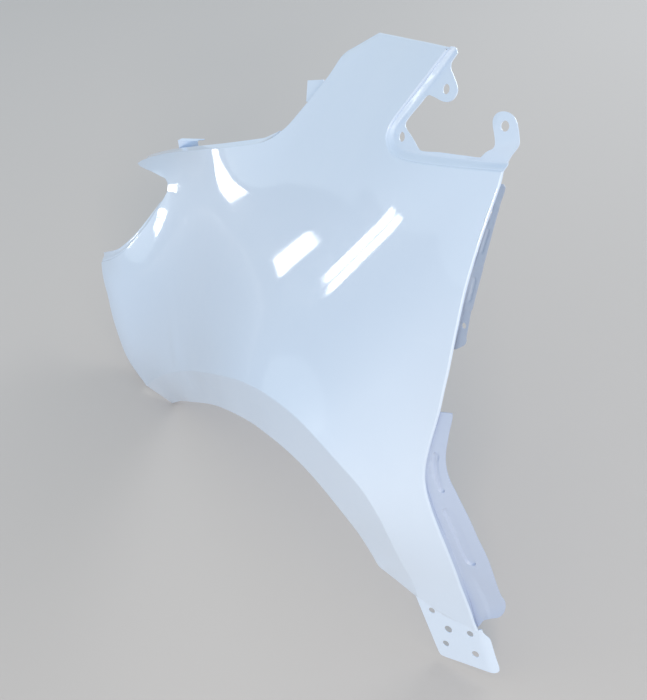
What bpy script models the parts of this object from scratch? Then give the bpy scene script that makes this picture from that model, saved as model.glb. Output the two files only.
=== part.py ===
# Front left car fender, one pressed and painted steel sheet
# Row frame: +X towards the rear of the car, +Y inboard, +Z up, in the pose of a panel
# stood on its lower plate and nose corner, with the origin on the plate's inner face
import math

import bmesh
import bpy
import numpy as np
from mathutils.geometry import delaunay_2d_cdt

for old in list(bpy.data.objects):
    bpy.data.objects.remove(old, do_unlink=True)

# Overall size of the sheet, metres, and the length, depth and height that the outlines
# below are drawn to
PANEL_LENGTH = 1.002
PANEL_HEIGHT = 0.6503
PANEL_DEPTH = 0.2672
DRAWN_SIZE = (1.002, 0.2672, 0.6503)

# Sheet and mesh sizes, metres
SHEET = 0.0009
CELL = 0.0215
EDGE_STEP = 0.0165

# The outer skin is drawn as eight cross sections. Each row gives the inset of the
# skin in millimetres at six heights, lowest first. The section grid is pitched
# nose down by PITCH against the floor.
PITCH = math.radians(15.0)
STATION_RANGE = (-0.33, 0.79)
HEIGHT_RANGE = (-0.16, 0.54)
SECTIONS = (
    (-27.8, 13.1, 30.7, 124.4, 281.4, 408.5),
    (-35.2, -7.7, 14.9, 94.1, 231.5, 343.7),
    (-38.0, -25.3, 12.0, 98.6, 176.5, 252.0),
    (-60.4, -90.7, -19.2, 71.4, 151.6, 224.8),
    (-68.6, -133.3, -73.5, 34.3, 140.3, 233.3),
    (-28.3, -71.3, -92.7, 7.6, 99.0, 212.3),
    (20.3, -4.2, -35.7, -9.0, 58.9, 152.6),
    (76.4, 50.8, 39.9, 6.2, 44.9, 109.2),
)

# Soft ridge that bounds the wheel flare at the front
RIDGE = ((-0.190, 0.174), (-0.124, 0.175), (-0.076, 0.178), (-0.040, 0.180),
         (-0.012, 0.176), (0.010, 0.166), (0.027, 0.155), (0.047, 0.147),
         (0.073, 0.145), (0.104, 0.152), (0.124, 0.159))
RIDGE_RISE = 0.0016
RIDGE_WIDTH = 0.013

# Rolled facet along the front of the horn, beyond a straight fold
HORN_FOLD = ((0.2465, 0.5631), (0.3272, 0.6150))
HORN_ROLL_RADIUS = 0.014

# Outline of the skin in side view, (x, z) in metres
BUMPER_EDGE = ((-0.290, 0.118), (-0.277, 0.110), (-0.253, 0.098), (-0.229, 0.087),
               (-0.204, 0.064), (-0.180, 0.041), (-0.152, 0.016), (-0.133, 0.008),
               (-0.108, 0.004), (-0.087, 0.003), (-0.065, 0.004))
ARCH_CREASE = ((-0.065, 0.004), (-0.0115, 0.0540), (0.040, 0.097), (0.0837, 0.129),
               (0.146, 0.172), (0.187, 0.198), (0.244, 0.233), (0.320, 0.273),
               (0.391, 0.298), (0.451, 0.306), (0.500, 0.297), (0.539, 0.274),
               (0.557, 0.243), (0.565, 0.210), (0.569, 0.180), (0.572, 0.157),
               (0.5765, 0.132), (0.579, 0.112), (0.580, 0.095))
JOGGLE_LINE = ((0.580, 0.095), (0.594, 0.087), (0.610, 0.082), (0.628, 0.079),
               (0.6447, 0.0769))
DOOR_LOW = ((0.6447, 0.0769), (0.6381, 0.113), (0.6308, 0.148), (0.6255, 0.183),
            (0.6196, 0.2156), (0.613, 0.2455), (0.606, 0.2735), (0.600, 0.2996),
            (0.5977, 0.3218), (0.599, 0.347), (0.6015, 0.370), (0.604, 0.392))
DOOR_MIDDLE = ((0.604, 0.392), (0.6050, 0.418), (0.6054, 0.437), (0.6048, 0.453))
DOOR_HIGH = ((0.6048, 0.453), (0.6028, 0.480), (0.6000, 0.506), (0.5985, 0.530),
             (0.5976, 0.556), (0.5970, 0.586))
DOOR_TOP = ((0.5970, 0.586), (0.5953, 0.596))
NOTCH_EDGE = ((0.5953, 0.5960), (0.5711, 0.5887), (0.5475, 0.5814), (0.5077, 0.5692),
              (0.4802, 0.5608), (0.4555, 0.5545), (0.4415, 0.5528), (0.4320, 0.5533),
              (0.4231, 0.5563), (0.4181, 0.5603), (0.4176, 0.5661), (0.4206, 0.5734),
              (0.4265, 0.5835), (0.4352, 0.5970), (0.4436, 0.6103), (0.4522, 0.6229),
              (0.4576, 0.6314), (0.4630, 0.6393), (0.4672, 0.6458))
HORN_END = ((0.4672, 0.6458), (0.4305, 0.6380), (0.3694, 0.6241), (0.3072, 0.6103))
HORN_EDGE = ((0.3072, 0.6103), (0.2915, 0.6014), (0.2700, 0.5890), (0.2446, 0.5730),
             (0.2388, 0.5611), (0.2319, 0.5488), (0.2262, 0.5415), (0.2054, 0.5150),
             (0.1914, 0.4977), (0.1815, 0.4854), (0.1739, 0.4774), (0.1651, 0.4700), (0.1560, 0.4625),
             (0.1470, 0.4560))
HOOD_EDGE = ((0.1470, 0.4560), (0.1307, 0.4470), (0.1029, 0.4354), (0.0779, 0.4258),
             (0.0228, 0.4050), (-0.0462, 0.3782), (-0.1306, 0.3442), (-0.2081, 0.3115),
             (-0.2545, 0.2910), (-0.2963, 0.2714))
TIP_EDGE = ((-0.2963, 0.2714), (-0.3232, 0.2573), (-0.3331, 0.2499), (-0.3145, 0.2532),
            (-0.2380, 0.2742), (-0.1855, 0.2864), (-0.1612, 0.2910), (-0.1469, 0.2892),
            (-0.1408, 0.2843), (-0.1430, 0.2748), (-0.1480, 0.2638))
LAMP_EDGE = ((-0.1480, 0.2638), (-0.1540, 0.2516), (-0.1586, 0.2407), (-0.1641, 0.2285),
             (-0.1713, 0.2154), (-0.1811, 0.2017), (-0.1936, 0.1852), (-0.2096, 0.1691),
             (-0.2411, 0.1460), (-0.2700, 0.1290), (-0.2900, 0.1180))

# Wheel arch edge, (x, y, z) in metres, at the lower border of the flat band
ARCH_EDGE = ((-0.0047, 0.0020, -0.0043), (0.0500, -0.0070, 0.0415),
             (0.1082, -0.0175, 0.0847), (0.2119, -0.0330, 0.1563),
             (0.2786, -0.0421, 0.1933), (0.3308, -0.0470, 0.2145),
             (0.3784, -0.0519, 0.2282), (0.4190, -0.0540, 0.2330),
             (0.4533, -0.0530, 0.2262), (0.4793, -0.0502, 0.2116),
             (0.5013, -0.0454, 0.1911), (0.5150, -0.0382, 0.1671),
             (0.5239, -0.0336, 0.1476), (0.5294, -0.0300, 0.1322),
             (0.5344, -0.0274, 0.1200), (0.5463, -0.0217, 0.1108),
             (0.5576, -0.0170, 0.1033), (0.5750, -0.0108, 0.0930))

# Recess round the quarter glass notch with two bolt tabs and a gusset
CHANNEL_DEPTH = 0.008
CHANNEL_LINE = ((0.5916, 0.5991), (0.5724, 0.5934), (0.5488, 0.5865), (0.5233, 0.5786),
                (0.4950, 0.5699), (0.4677, 0.5619), (0.4515, 0.5577), (0.4386, 0.5561),
                (0.4293, 0.5568), (0.4245, 0.5595), (0.4224, 0.5635), (0.4240, 0.5690),
                (0.4293, 0.5772), (0.4367, 0.5880), (0.4450, 0.6000), (0.4512, 0.6096),
                (0.4560, 0.6175), (0.4611, 0.6264), (0.4663, 0.6358), (0.4712, 0.6450))
FRONT_TAB = ((0.4762, 0.6428), (0.4744, 0.6390), (0.4722, 0.6343), (0.4750, 0.6308),
             (0.4809, 0.6289), (0.4883, 0.6266), (0.4956, 0.6236), (0.4986, 0.6212),
             (0.4992, 0.6180), (0.4972, 0.6143), (0.4928, 0.6109), (0.4871, 0.6088),
             (0.4805, 0.6074), (0.4710, 0.6064), (0.4624, 0.6052), (0.4560, 0.6037),
             (0.4533, 0.6020), (0.4482, 0.5943), (0.4427, 0.5867), (0.4374, 0.5787),
             (0.4353, 0.5742))
GUSSET_EDGE = ((0.4353, 0.5742), (0.4370, 0.5723), (0.4427, 0.5711), (0.4520, 0.5704),
               (0.4627, 0.5690), (0.4722, 0.5673), (0.4780, 0.5672), (0.5076, 0.5766),
               (0.5349, 0.5844), (0.5550, 0.5903), (0.5614, 0.5924))
REAR_TAB = ((0.5614, 0.5924), (0.5670, 0.5991), (0.5728, 0.6035), (0.5740, 0.6059),
            (0.5728, 0.6084), (0.5662, 0.6148), (0.5623, 0.6178), (0.5603, 0.6206),
            (0.5613, 0.6243), (0.5647, 0.6273), (0.5701, 0.6296), (0.5760, 0.6307),
            (0.5816, 0.6303), (0.5866, 0.6287), (0.5918, 0.6247), (0.5958, 0.6204),
            (0.5981, 0.6170), (0.5984, 0.6141), (0.5965, 0.6096), (0.5936, 0.6047),
            (0.5924, 0.6016))
TAB_HOLES = ((0.4810, 0.6167, 0.0058, 0.0036), (0.4392, 0.5638, 0.0060, 0.0035),
             (0.5772, 0.6214, 0.0052, 0.0036))
REAR_TAB_FOLD = ((0.5728, 0.6055), (0.5990, 0.6190))
REAR_TAB_RISE = 0.0035
REAR_TAB_RAMP = 0.013

# Return flanges behind the door edge
HIGH_FLANGE_DEPTH = 0.0052
HIGH_FLANGE_ROOT = ((0.6020, 0.4529), (0.6030, 0.4625), (0.6030, 0.4760), (0.6018, 0.4877),
                    (0.6010, 0.4968), (0.5995, 0.5168), (0.5980, 0.5358), (0.5974, 0.5558),
                    (0.5965, 0.5741), (0.5952, 0.5861))
HIGH_FLANGE = ((0.5993, 0.5875), (0.6017, 0.5865), (0.6026, 0.5835), (0.6028, 0.5781),
               (0.6026, 0.5735), (0.6031, 0.5685), (0.6042, 0.5583), (0.6057, 0.5466),
               (0.6069, 0.5362), (0.6079, 0.5247), (0.6088, 0.5138), (0.6097, 0.5017),
               (0.6102, 0.4938), (0.6091, 0.4907), (0.6101, 0.4839), (0.6112, 0.4757),
               (0.6119, 0.4686), (0.6131, 0.4654), (0.6122, 0.4619), (0.6083, 0.4577),
               (0.6049, 0.4543))
HIGH_FLANGE_HOLE = (0.6066, 0.4768, 0.0024, 0.0024)

# Small steps across the upper flange: height at the door line and rise outboard
FLANGE_STEPS = ((0.4864, 0.0008), (0.5215, 0.0008), (0.5725, 0.0008))
FLANGE_STEP_SLOPE = 0.65
FLANGE_STEP_X = 0.600
FLANGE_STEP_RAMP = 0.0014

LOW_FLANGE_DEPTH = (0.0045, 0.0080)
LOW_FLANGE_RANGE = (0.380, 0.090)
LOW_FLANGE_ROOT = ((0.6412, 0.0720), (0.6385, 0.0851), (0.6368, 0.0990), (0.6339, 0.1227),
                   (0.6309, 0.1405), (0.6288, 0.1588), (0.6264, 0.1766), (0.6235, 0.1935),
                   (0.6206, 0.2099), (0.6176, 0.2256), (0.6135, 0.2401), (0.6097, 0.2541),
                   (0.6062, 0.2676), (0.6028, 0.2806), (0.5996, 0.2930), (0.5982, 0.3055),
                   (0.5978, 0.3180), (0.5980, 0.3305), (0.5985, 0.3433), (0.5997, 0.3583),
                   (0.6010, 0.3742), (0.6023, 0.3895))
LOW_FLANGE = ((0.6141, 0.3939), (0.6148, 0.3916), (0.6146, 0.3824), (0.6137, 0.3715),
              (0.6132, 0.3617), (0.6127, 0.3505), (0.6131, 0.3384), (0.6145, 0.3289),
              (0.6165, 0.3208), (0.6196, 0.3117), (0.6237, 0.3027), (0.6284, 0.2910),
              (0.6327, 0.2800), (0.6373, 0.2675), (0.6415, 0.2543), (0.6455, 0.2406),
              (0.6506, 0.2255), (0.6547, 0.2112), (0.6581, 0.1958), (0.6609, 0.1816),
              (0.6638, 0.1652), (0.6662, 0.1539), (0.6693, 0.1476), (0.6708, 0.1403),
              (0.6709, 0.1305), (0.6688, 0.1220), (0.6657, 0.1158), (0.6599, 0.1091),
              (0.6550, 0.1034), (0.6485, 0.0928), (0.6441, 0.0799))

# Step and outboard lip at the foot of the lower flange
LOW_CREASE = ((0.6551, 0.1055), (0.6499, 0.1254), (0.6451, 0.1434), (0.6406, 0.1615),
              (0.6363, 0.1776))
LOW_CREASE_STEP = 0.0012
LOW_CREASE_RAMP = 0.0014
LOW_LIP_FOLD = ((0.6698, 0.1481), (0.6488, 0.1185))
LOW_LIP_RADIUS = 0.030
LOW_LIP_START = 0.644

# Shallow recesses pressed into the flanges: half width and middle line
LOW_PRESSINGS = ((0.0032, ((0.6040, 0.3402), (0.6036, 0.3310), (0.6055, 0.3194), (0.6083, 0.3077),
                           (0.6116, 0.2978))),
                 (0.0056, ((0.6183, 0.2700), (0.6241, 0.2518), (0.6293, 0.2319),
                           (0.6338, 0.2124), (0.6374, 0.1980))))
HIGH_PRESSINGS = ((0.0022, ((0.6004, 0.5524), (0.6008, 0.5447), (0.6014, 0.5370))),
                  (0.0022, ((0.6032, 0.5151), (0.6042, 0.5087), (0.6049, 0.4989))))
PRESSING_DEPTH = 0.0024
PRESSING_RAMP = 0.0015

# Lower plate with five bolt holes: a flat face, folded inboard along its rear border
PLATE_X = 0.607
PLATE_SLOPE_X = 0.40
PLATE_SLOPE_Z = 0.04
PLATE_FOLD = ((0.6455, 0.0684), (0.6625, 0.0090))
PLATE_FOLD_RADIUS = 0.010
PLATE_OUTLINE = ((0.6484, 0.0770), (0.6491, 0.0743), (0.6508, 0.0705), (0.6536, 0.0668),
                 (0.6563, 0.0629), (0.6575, 0.0598), (0.6640, 0.0376), (0.6706, 0.0154),
                 (0.6709, 0.0114), (0.6691, 0.0085), (0.6657, 0.0080), (0.6380, 0.0045),
                 (0.6107, 0.0010), (0.6080, 0.0016), (0.6064, 0.0042), (0.5900, 0.0485))
PLATE_HOLES = ((0.5939, 0.0760, 0.0034, 0.0047), (0.6137, 0.0546, 0.0041, 0.0060),
               (0.6373, 0.0625, 0.0036, 0.0051), (0.6126, 0.0266, 0.0036, 0.0051),
               (0.6458, 0.0301, 0.0039, 0.0055))
MOUNT_POINT = (0.626, 0.043)

# Hood flange, lamp lip and horn flange
HOOD_SHELF_DEPTH = 0.006
HOOD_SHELF = ((0.1540, 0.4650), (0.1400, 0.4569), (0.1257, 0.4489), (0.1024, 0.4396),
              (0.0653, 0.4254), (0.0091, 0.4037), (-0.0623, 0.3756), (-0.1797, 0.3272),
              (-0.2277, 0.3064), (-0.2750, 0.2853), (-0.3080, 0.2690))
HOOD_FLANGE_DEPTH = 0.024
LAMP_LIP_DEPTH = 0.004
LAMP_LIP = ((-0.1562, 0.2603), (-0.1635, 0.2478), (-0.1709, 0.2359), (-0.1781, 0.2240),
            (-0.1872, 0.2099), (-0.2001, 0.1942), (-0.2157, 0.1784), (-0.2325, 0.1647),
            (-0.2546, 0.1513), (-0.2820, 0.1373), (-0.3010, 0.1275))
EDGE_BEND = ((0.0009, 0.0006), (0.0013, 0.0026))
EDGE_WALL = ((0.0008, 0.0060), (-0.0006, 0.0120))
STEP_PROFILE = ((0.16, 0.10), (0.40, 0.50), (0.70, 0.88), (1.0, 1.0))
ARCH_LIP = ((0.0016, 0.0006), (0.0060, 0.0012), (0.0140, 0.0030))

# Small welded bracket behind the hood line and tab in front of the horn
BRACKET_ROOT = (-0.163, 0.334)
BRACKET_WIDTH = 0.0235
BRACKET_HEIGHT = 0.0090
BRACKET_SHELF = 0.0085
BRACKET_ARM = 0.0145
BRACKET_TURN = math.radians(40.0)
HORN_TAB = ((0.1772, 0.5259), (0.1916, 0.5077), (0.2080, 0.5120), (0.2240, 0.5330),
            (0.2141, 0.5373))
HORN_TAB_DEPTH = 0.0090

PAINT = (0.62, 0.73, 0.90, 1.0)


def spline_weights(first, last, count, values):
    """Natural cubic spline weights of evenly spaced knots at the given values"""
    step = (last - first) / (count - 1)
    system = np.eye(count)
    right = np.zeros((count, count))
    for k in range(1, count - 1):
        system[k, k - 1:k + 2] = (1.0, 4.0, 1.0)
        right[k, k - 1:k + 2] = (6.0 / step ** 2, -12.0 / step ** 2, 6.0 / step ** 2)
    bend = np.linalg.solve(system, right)
    place = (values - first) / step
    cell = np.clip(np.floor(place).astype(int), 0, count - 2)
    b = place - cell
    a = 1.0 - b
    weights = np.zeros((len(values), count))
    row = np.arange(len(values))
    weights[row, cell] += a
    weights[row, cell + 1] += b
    curve_a = (a ** 3 - a)[:, None] * bend[cell]
    curve_b = (b ** 3 - b)[:, None] * bend[cell + 1]
    return weights + (curve_a + curve_b) * step ** 2 / 6.0


def distance_to(path, x, z):
    """Distance of points to a polyline and the share of its length passed"""
    pts = np.stack([x, z], 1)
    start = path[:-1]
    span = path[1:] - start
    length = np.hypot(span[:, 0], span[:, 1])
    t = ((pts[:, None] - start) * span).sum(2) / length ** 2
    t = np.clip(t, 0.0, 1.0)
    gap = pts[:, None] - (start + t[..., None] * span)
    dist = np.hypot(gap[..., 0], gap[..., 1])
    best = dist.argmin(1)
    row = np.arange(len(x))
    run = np.concatenate([[0.0], np.cumsum(length)])
    share = (run[best] + t[row, best] * length[best]) / run[-1]
    return dist[row, best], share


def past_fold(fold, x, z):
    """How far points lie past a straight fold, on the left of its direction"""
    (x0, z0), (x1, z1) = fold
    length = math.hypot(x1 - x0, z1 - z0)
    return np.clip(((x1 - x0) * (z - z0) - (z1 - z0) * (x - x0)) / length, 0.0, None)


def pressed(x, z, pressings):
    """Depth of the recesses at side view points"""
    depth = np.zeros(len(x))
    for half, line in pressings:
        share = (half - distance_to(np.array(line), x, z)[0]) / PRESSING_RAMP
        depth = depth + PRESSING_DEPTH * np.clip(share, 0.0, 1.0)
    return depth


def skin_inset(x, z):
    """Inboard inset of the outer skin at side view points"""
    x = np.atleast_1d(np.asarray(x, float))
    z = np.atleast_1d(np.asarray(z, float))
    along = x * math.cos(PITCH) + z * math.sin(PITCH)
    height = -x * math.sin(PITCH) + z * math.cos(PITCH)
    net = np.array(SECTIONS) * 0.001
    wa = spline_weights(*STATION_RANGE, net.shape[0], along)
    wh = spline_weights(*HEIGHT_RANGE, net.shape[1], height)
    inset = np.einsum("ki,kj,ij->k", wa, wh, net)
    dist, share = distance_to(np.array(RIDGE), x, z)
    fade = np.clip(np.minimum(share, 1.0 - share) * 5.0, 0.0, 1.0)
    inset = inset - RIDGE_RISE * fade * np.exp(-(dist / RIDGE_WIDTH) ** 2)
    past = past_fold(HORN_FOLD, x, z) * np.clip((x - HORN_FOLD[0][0]) / 0.02 + 1.0, 0.0, 1.0)
    return inset + past ** 2 / (2.0 * HORN_ROLL_RADIUS)


def channel_inset(x, z):
    """Floor of the notch recess, ramped outboard below the fold of the rear tab"""
    x = np.atleast_1d(np.asarray(x, float))
    z = np.atleast_1d(np.asarray(z, float))
    (x0, z0), (x1, z1) = REAR_TAB_FOLD
    length = math.hypot(x1 - x0, z1 - z0)
    above = ((x1 - x0) * (z - z0) - (z1 - z0) * (x - x0)) / length
    ramp = np.clip(above / REAR_TAB_RAMP + 1.0, 0.0, 1.0)
    ramp = ramp * np.clip((x - 0.545) / 0.02, 0.0, 1.0)
    return skin_inset(x, z) + CHANNEL_DEPTH - REAR_TAB_RISE * ramp


def high_flange_inset(x, z):
    """Upper return flange of the door edge with its steps and recesses"""
    x = np.atleast_1d(np.asarray(x, float))
    z = np.atleast_1d(np.asarray(z, float))
    inset = skin_inset(x, z) + HIGH_FLANGE_DEPTH + pressed(x, z, HIGH_PRESSINGS)
    for height, rise in FLANGE_STEPS:
        above = z - height - FLANGE_STEP_SLOPE * (x - FLANGE_STEP_X)
        inset = inset - rise * np.clip(above / FLANGE_STEP_RAMP, 0.0, 1.0)
    return inset


def low_flange_inset(x, z):
    """Lower return flange of the door edge with its recesses, step and lip"""
    x = np.atleast_1d(np.asarray(x, float))
    z = np.atleast_1d(np.asarray(z, float))
    top, bottom = LOW_FLANGE_RANGE
    share = np.clip((top - z) / (top - bottom), 0.0, 1.0)
    shallow, deep = LOW_FLANGE_DEPTH
    inset = skin_inset(x, z) + shallow + (deep - shallow) * share
    inset = inset + pressed(x, z, LOW_PRESSINGS)
    ends = (LOW_CREASE[-1], LOW_CREASE[0])
    beside = np.clip(past_fold(ends, x, z) / LOW_CREASE_RAMP, 0.0, 1.0)
    fade = np.clip((LOW_CREASE[-1][1] - z) / 0.03, 0.0, 1.0)
    inset = inset + LOW_CREASE_STEP * beside * fade
    lip = past_fold(LOW_LIP_FOLD, x, z) * np.clip((x - LOW_LIP_START) / 0.012, 0.0, 1.0)
    return inset - lip ** 2 / (2.0 * LOW_LIP_RADIUS)


def plate_inset(x, z):
    """Flat face of the lower plate and its rounded rear fold"""
    x = np.atleast_1d(np.asarray(x, float))
    z = np.atleast_1d(np.asarray(z, float))
    past = past_fold(PLATE_FOLD, x, z)
    flat = PLATE_SLOPE_X * (x - PLATE_X) + PLATE_SLOPE_Z * z
    return flat + past ** 2 / (2.0 * PLATE_FOLD_RADIUS)


def smooth_path(points, step):
    """Curve through the points, cut into steps of nearly one length"""
    p = np.array(points, float)
    knots = np.concatenate([[0.0], np.cumsum(np.linalg.norm(np.diff(p, axis=0), axis=1) ** 0.5)])
    ends = np.vstack([2 * p[0] - p[1], p, 2 * p[-1] - p[-2]])
    t = np.concatenate([[knots[0] - (knots[1] - knots[0])], knots,
                        [knots[-1] + (knots[-1] - knots[-2])]])
    fine = []
    for k in range(1, len(ends) - 2):
        for u in np.linspace(t[k], t[k + 1], 16, endpoint=False):
            a1 = ((t[k] - u) * ends[k - 1] + (u - t[k - 1]) * ends[k]) / (t[k] - t[k - 1])
            a2 = ((t[k + 1] - u) * ends[k] + (u - t[k]) * ends[k + 1]) / (t[k + 1] - t[k])
            a3 = ((t[k + 2] - u) * ends[k + 1] + (u - t[k + 1]) * ends[k + 2])
            a3 = a3 / (t[k + 2] - t[k + 1])
            b1 = ((t[k + 1] - u) * a1 + (u - t[k - 1]) * a2) / (t[k + 1] - t[k - 1])
            b2 = ((t[k + 2] - u) * a2 + (u - t[k]) * a3) / (t[k + 2] - t[k])
            fine.append(((t[k + 1] - u) * b1 + (u - t[k]) * b2) / (t[k + 1] - t[k]))
    fine.append(p[-1])
    fine = np.array(fine)
    run = np.concatenate([[0.0], np.cumsum(np.linalg.norm(np.diff(fine, axis=0), axis=1))])
    count = max(2, int(round(run[-1] / step)) + 1)
    even = np.linspace(0.0, run[-1], count)
    return np.stack([np.interp(even, run, fine[:, k]) for k in range(fine.shape[1])], 1)


def outward(path):
    """Outward side normals of a path that keeps the skin on its left"""
    d = np.gradient(path, axis=0)
    d = d / np.linalg.norm(d, axis=1)[:, None]
    return np.stack([d[:, 1], -d[:, 0]], 1)


def inside(loop, x, z):
    """Even and odd test of points against a closed loop"""
    result = np.zeros(len(x), bool)
    for (x0, z0), (x1, z1) in zip(loop, np.roll(loop, -1, axis=0)):
        if z0 == z1:
            continue
        cross = (z0 > z) != (z1 > z)
        result ^= cross & (x < (x1 - x0) * (z - z0) / (z1 - z0) + x0)
    return result


def ring(hole, sides):
    """Closed ring of a round or oval hole"""
    turn = np.arange(sides) * 2.0 * math.pi / sides
    return np.stack([hole[0] + hole[2] * np.cos(turn), hole[1] + hole[3] * np.sin(turn)], 1)


def stadium(line, radius, step):
    """Closed border at one distance round a line"""
    path = smooth_path(line, step)
    side = outward(path) * radius
    turn = np.linspace(0.0, math.pi, 5)[1:-1]
    d = path[-1] - path[-2]
    heading = math.atan2(d[1], d[0])
    cap = [path[-1] + radius * np.array((math.cos(heading - math.pi / 2 + t),
                                         math.sin(heading - math.pi / 2 + t))) for t in turn]
    d = path[0] - path[1]
    heading = math.atan2(d[1], d[0])
    foot = [path[0] + radius * np.array((math.cos(heading - math.pi / 2 + t),
                                         math.sin(heading - math.pi / 2 + t))) for t in turn]
    return np.vstack([path + side, cap, (path - side)[::-1], foot])


def fill_patch(mesh, loop, inset, cell, holes=(), rings=(), lines=()):
    """Fill a closed side view loop with an even net laid on an inset surface"""
    borders = [loop] + [ring(h, 12) for h in holes] + list(rings)
    low = loop.min(0)
    high = loop.max(0)
    grid = []
    for k, z in enumerate(np.arange(low[1], high[1], cell * 0.866)):
        for x in np.arange(low[0] + (k % 2) * cell / 2, high[0], cell):
            grid.append((x, z))
    grid = np.array(grid).reshape(-1, 2)
    keep = inside(loop, grid[:, 0], grid[:, 1])
    for border in borders:
        closed = np.vstack([border, border[:1]])
        keep &= distance_to(closed, grid[:, 0], grid[:, 1])[0] > cell * 0.5
    for line in lines:
        keep &= distance_to(line, grid[:, 0], grid[:, 1])[0] > cell * 0.5
    for h in holes:
        keep &= np.hypot(grid[:, 0] - h[0], grid[:, 1] - h[1]) > h[2]
    edges = []
    first = 0
    for border in borders:
        n = len(border)
        edges += [(first + k, first + (k + 1) % n) for k in range(n)]
        first += n
    for line in lines:
        edges += [(first + k, first + k + 1) for k in range(len(line) - 1)]
        first += len(line)
    points = np.vstack(borders + list(lines) + [grid[keep]])
    flat = [(float(px), float(pz)) for px, pz in points]
    out, _, faces, _, _, _ = delaunay_2d_cdt(flat, edges, [], 0, 1e-7)
    side = np.array([(v[0], v[1]) for v in out])
    depth = inset(side[:, 0], side[:, 1])
    mid = np.array([side[list(f)].mean(0) for f in faces])
    good = inside(loop, mid[:, 0], mid[:, 1])
    for h in holes:
        good &= ~inside(ring(h, 12), mid[:, 0], mid[:, 1])
    verts = {}
    for face, ok in zip(faces, good):
        if ok:
            for k in face:
                if k not in verts:
                    verts[k] = mesh.verts.new((side[k, 0], depth[k], side[k, 1]))
            mesh.faces.new([verts[k] for k in face])


def lay_rows(mesh, rows):
    """Join rows of points with four sided faces"""
    made = [[mesh.verts.new(tuple(p)) for p in row] for row in rows]
    for low, high in zip(made[:-1], made[1:]):
        for k in range(len(low) - 1):
            mesh.faces.new((low[k], low[k + 1], high[k + 1], high[k]))


def raised(path, inset, depth=0.0):
    """Points of a side view path laid on an inset surface"""
    return np.stack([path[:, 0], inset(path[:, 0], path[:, 1]) + depth, path[:, 1]], 1)


def resample(points, count):
    """Curve through the points with an exact number of even steps"""
    fine = smooth_path(points, 0.0005)
    run = np.concatenate([[0.0], np.cumsum(np.hypot(*np.diff(fine, axis=0).T))])
    even = np.linspace(0.0, run[-1], count)
    return np.stack([np.interp(even, run, fine[:, k]) for k in range(2)], 1)


def step_between(mesh, start, target):
    """Rounded step from one row of points to another"""
    rows = [start]
    for across, down in STEP_PROFILE:
        row = start + (target - start) * across
        row[:, 1] = start[:, 1] + (target[:, 1] - start[:, 1]) * down
        rows.append(row)
    lay_rows(mesh, rows)


def slab(name, corners, thickness):
    """Thin flat solid over a ring of corners"""
    ringed = [np.array(c, float) for c in corners]
    normal = np.cross(ringed[1] - ringed[0], ringed[2] - ringed[0])
    normal = normal / np.linalg.norm(normal)
    solid = bmesh.new()
    face = solid.faces.new([solid.verts.new(tuple(c)) for c in ringed])
    grown = bmesh.ops.extrude_face_region(solid, geom=[face])
    tops = [g for g in grown["geom"] if isinstance(g, bmesh.types.BMVert)]
    bmesh.ops.translate(solid, verts=tops, vec=tuple(normal * thickness))
    bmesh.ops.recalc_face_normals(solid, faces=solid.faces)
    data = bpy.data.meshes.new(name)
    solid.to_mesh(data)
    solid.free()
    made = bpy.data.objects.new(name, data)
    bpy.context.scene.collection.objects.link(made)
    made.hide_render = True
    made.display_type = "WIRE"
    return made


def join_in(target, tool):
    """Weld a small solid into the panel"""
    weld = target.modifiers.new("weld " + tool.name, "BOOLEAN")
    weld.operation = "UNION"
    weld.solver = "EXACT"
    weld.object = tool


sheet = bmesh.new()

# Skin, its border run anticlockwise in side view from the bumper corner
bumper = smooth_path(BUMPER_EDGE, EDGE_STEP)
crease = smooth_path(ARCH_CREASE, EDGE_STEP)
joggle = smooth_path(JOGGLE_LINE, EDGE_STEP)
door_low = smooth_path(DOOR_LOW, EDGE_STEP)
door_middle = smooth_path(DOOR_MIDDLE, EDGE_STEP)
door_high = smooth_path(DOOR_HIGH, EDGE_STEP)
door_top = smooth_path(DOOR_TOP, EDGE_STEP)
notch = smooth_path(NOTCH_EDGE, EDGE_STEP * 0.55)
horn_end = smooth_path(HORN_END, EDGE_STEP)
horn = smooth_path(HORN_EDGE, EDGE_STEP)
hood = smooth_path(HOOD_EDGE, EDGE_STEP)
tip = smooth_path(TIP_EDGE, EDGE_STEP * 0.8)
lamp = smooth_path(LAMP_EDGE, EDGE_STEP * 0.8)
free_border = (door_low, door_middle, door_high, door_top, notch, horn_end, horn, hood, tip,
               lamp, bumper)
border = np.vstack([path[:-1] for path in free_border] + [bumper[-1:]])
fade = np.minimum(np.arange(len(border)), np.arange(len(border))[::-1]) / 3.0
normal = outward(border)
border = border - normal * (EDGE_BEND[-1][0] * np.clip(fade, 0.0, 1.0))[:, None]
outline = np.vstack([border[:-1], crease[:-1], joggle[:-1]])
ridge_line = smooth_path(RIDGE[1:-1], EDGE_STEP)
fill_patch(sheet, outline, skin_inset, CELL, lines=[ridge_line])

# Rounded bend round the whole free border of the skin
bend = [raised(border, skin_inset)]
for out, depth in EDGE_BEND:
    row = raised(border, skin_inset)
    row[:, 0] += normal[:, 0] * out
    row[:, 2] += normal[:, 1] * out
    row[:, 1] += depth
    bend.append(row)
lay_rows(sheet, bend)
starts = np.cumsum([0] + [len(path) - 1 for path in free_border])
rows = [bend[-1][a:b + 1] for a, b in zip(starts[:-1], starts[1:])]
low_row, high_row, notch_row, horn_row, hood_row = rows[0], rows[2], rows[4], rows[6], rows[7]
tip_row, lamp_row, bumper_row = rows[8:]

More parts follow.
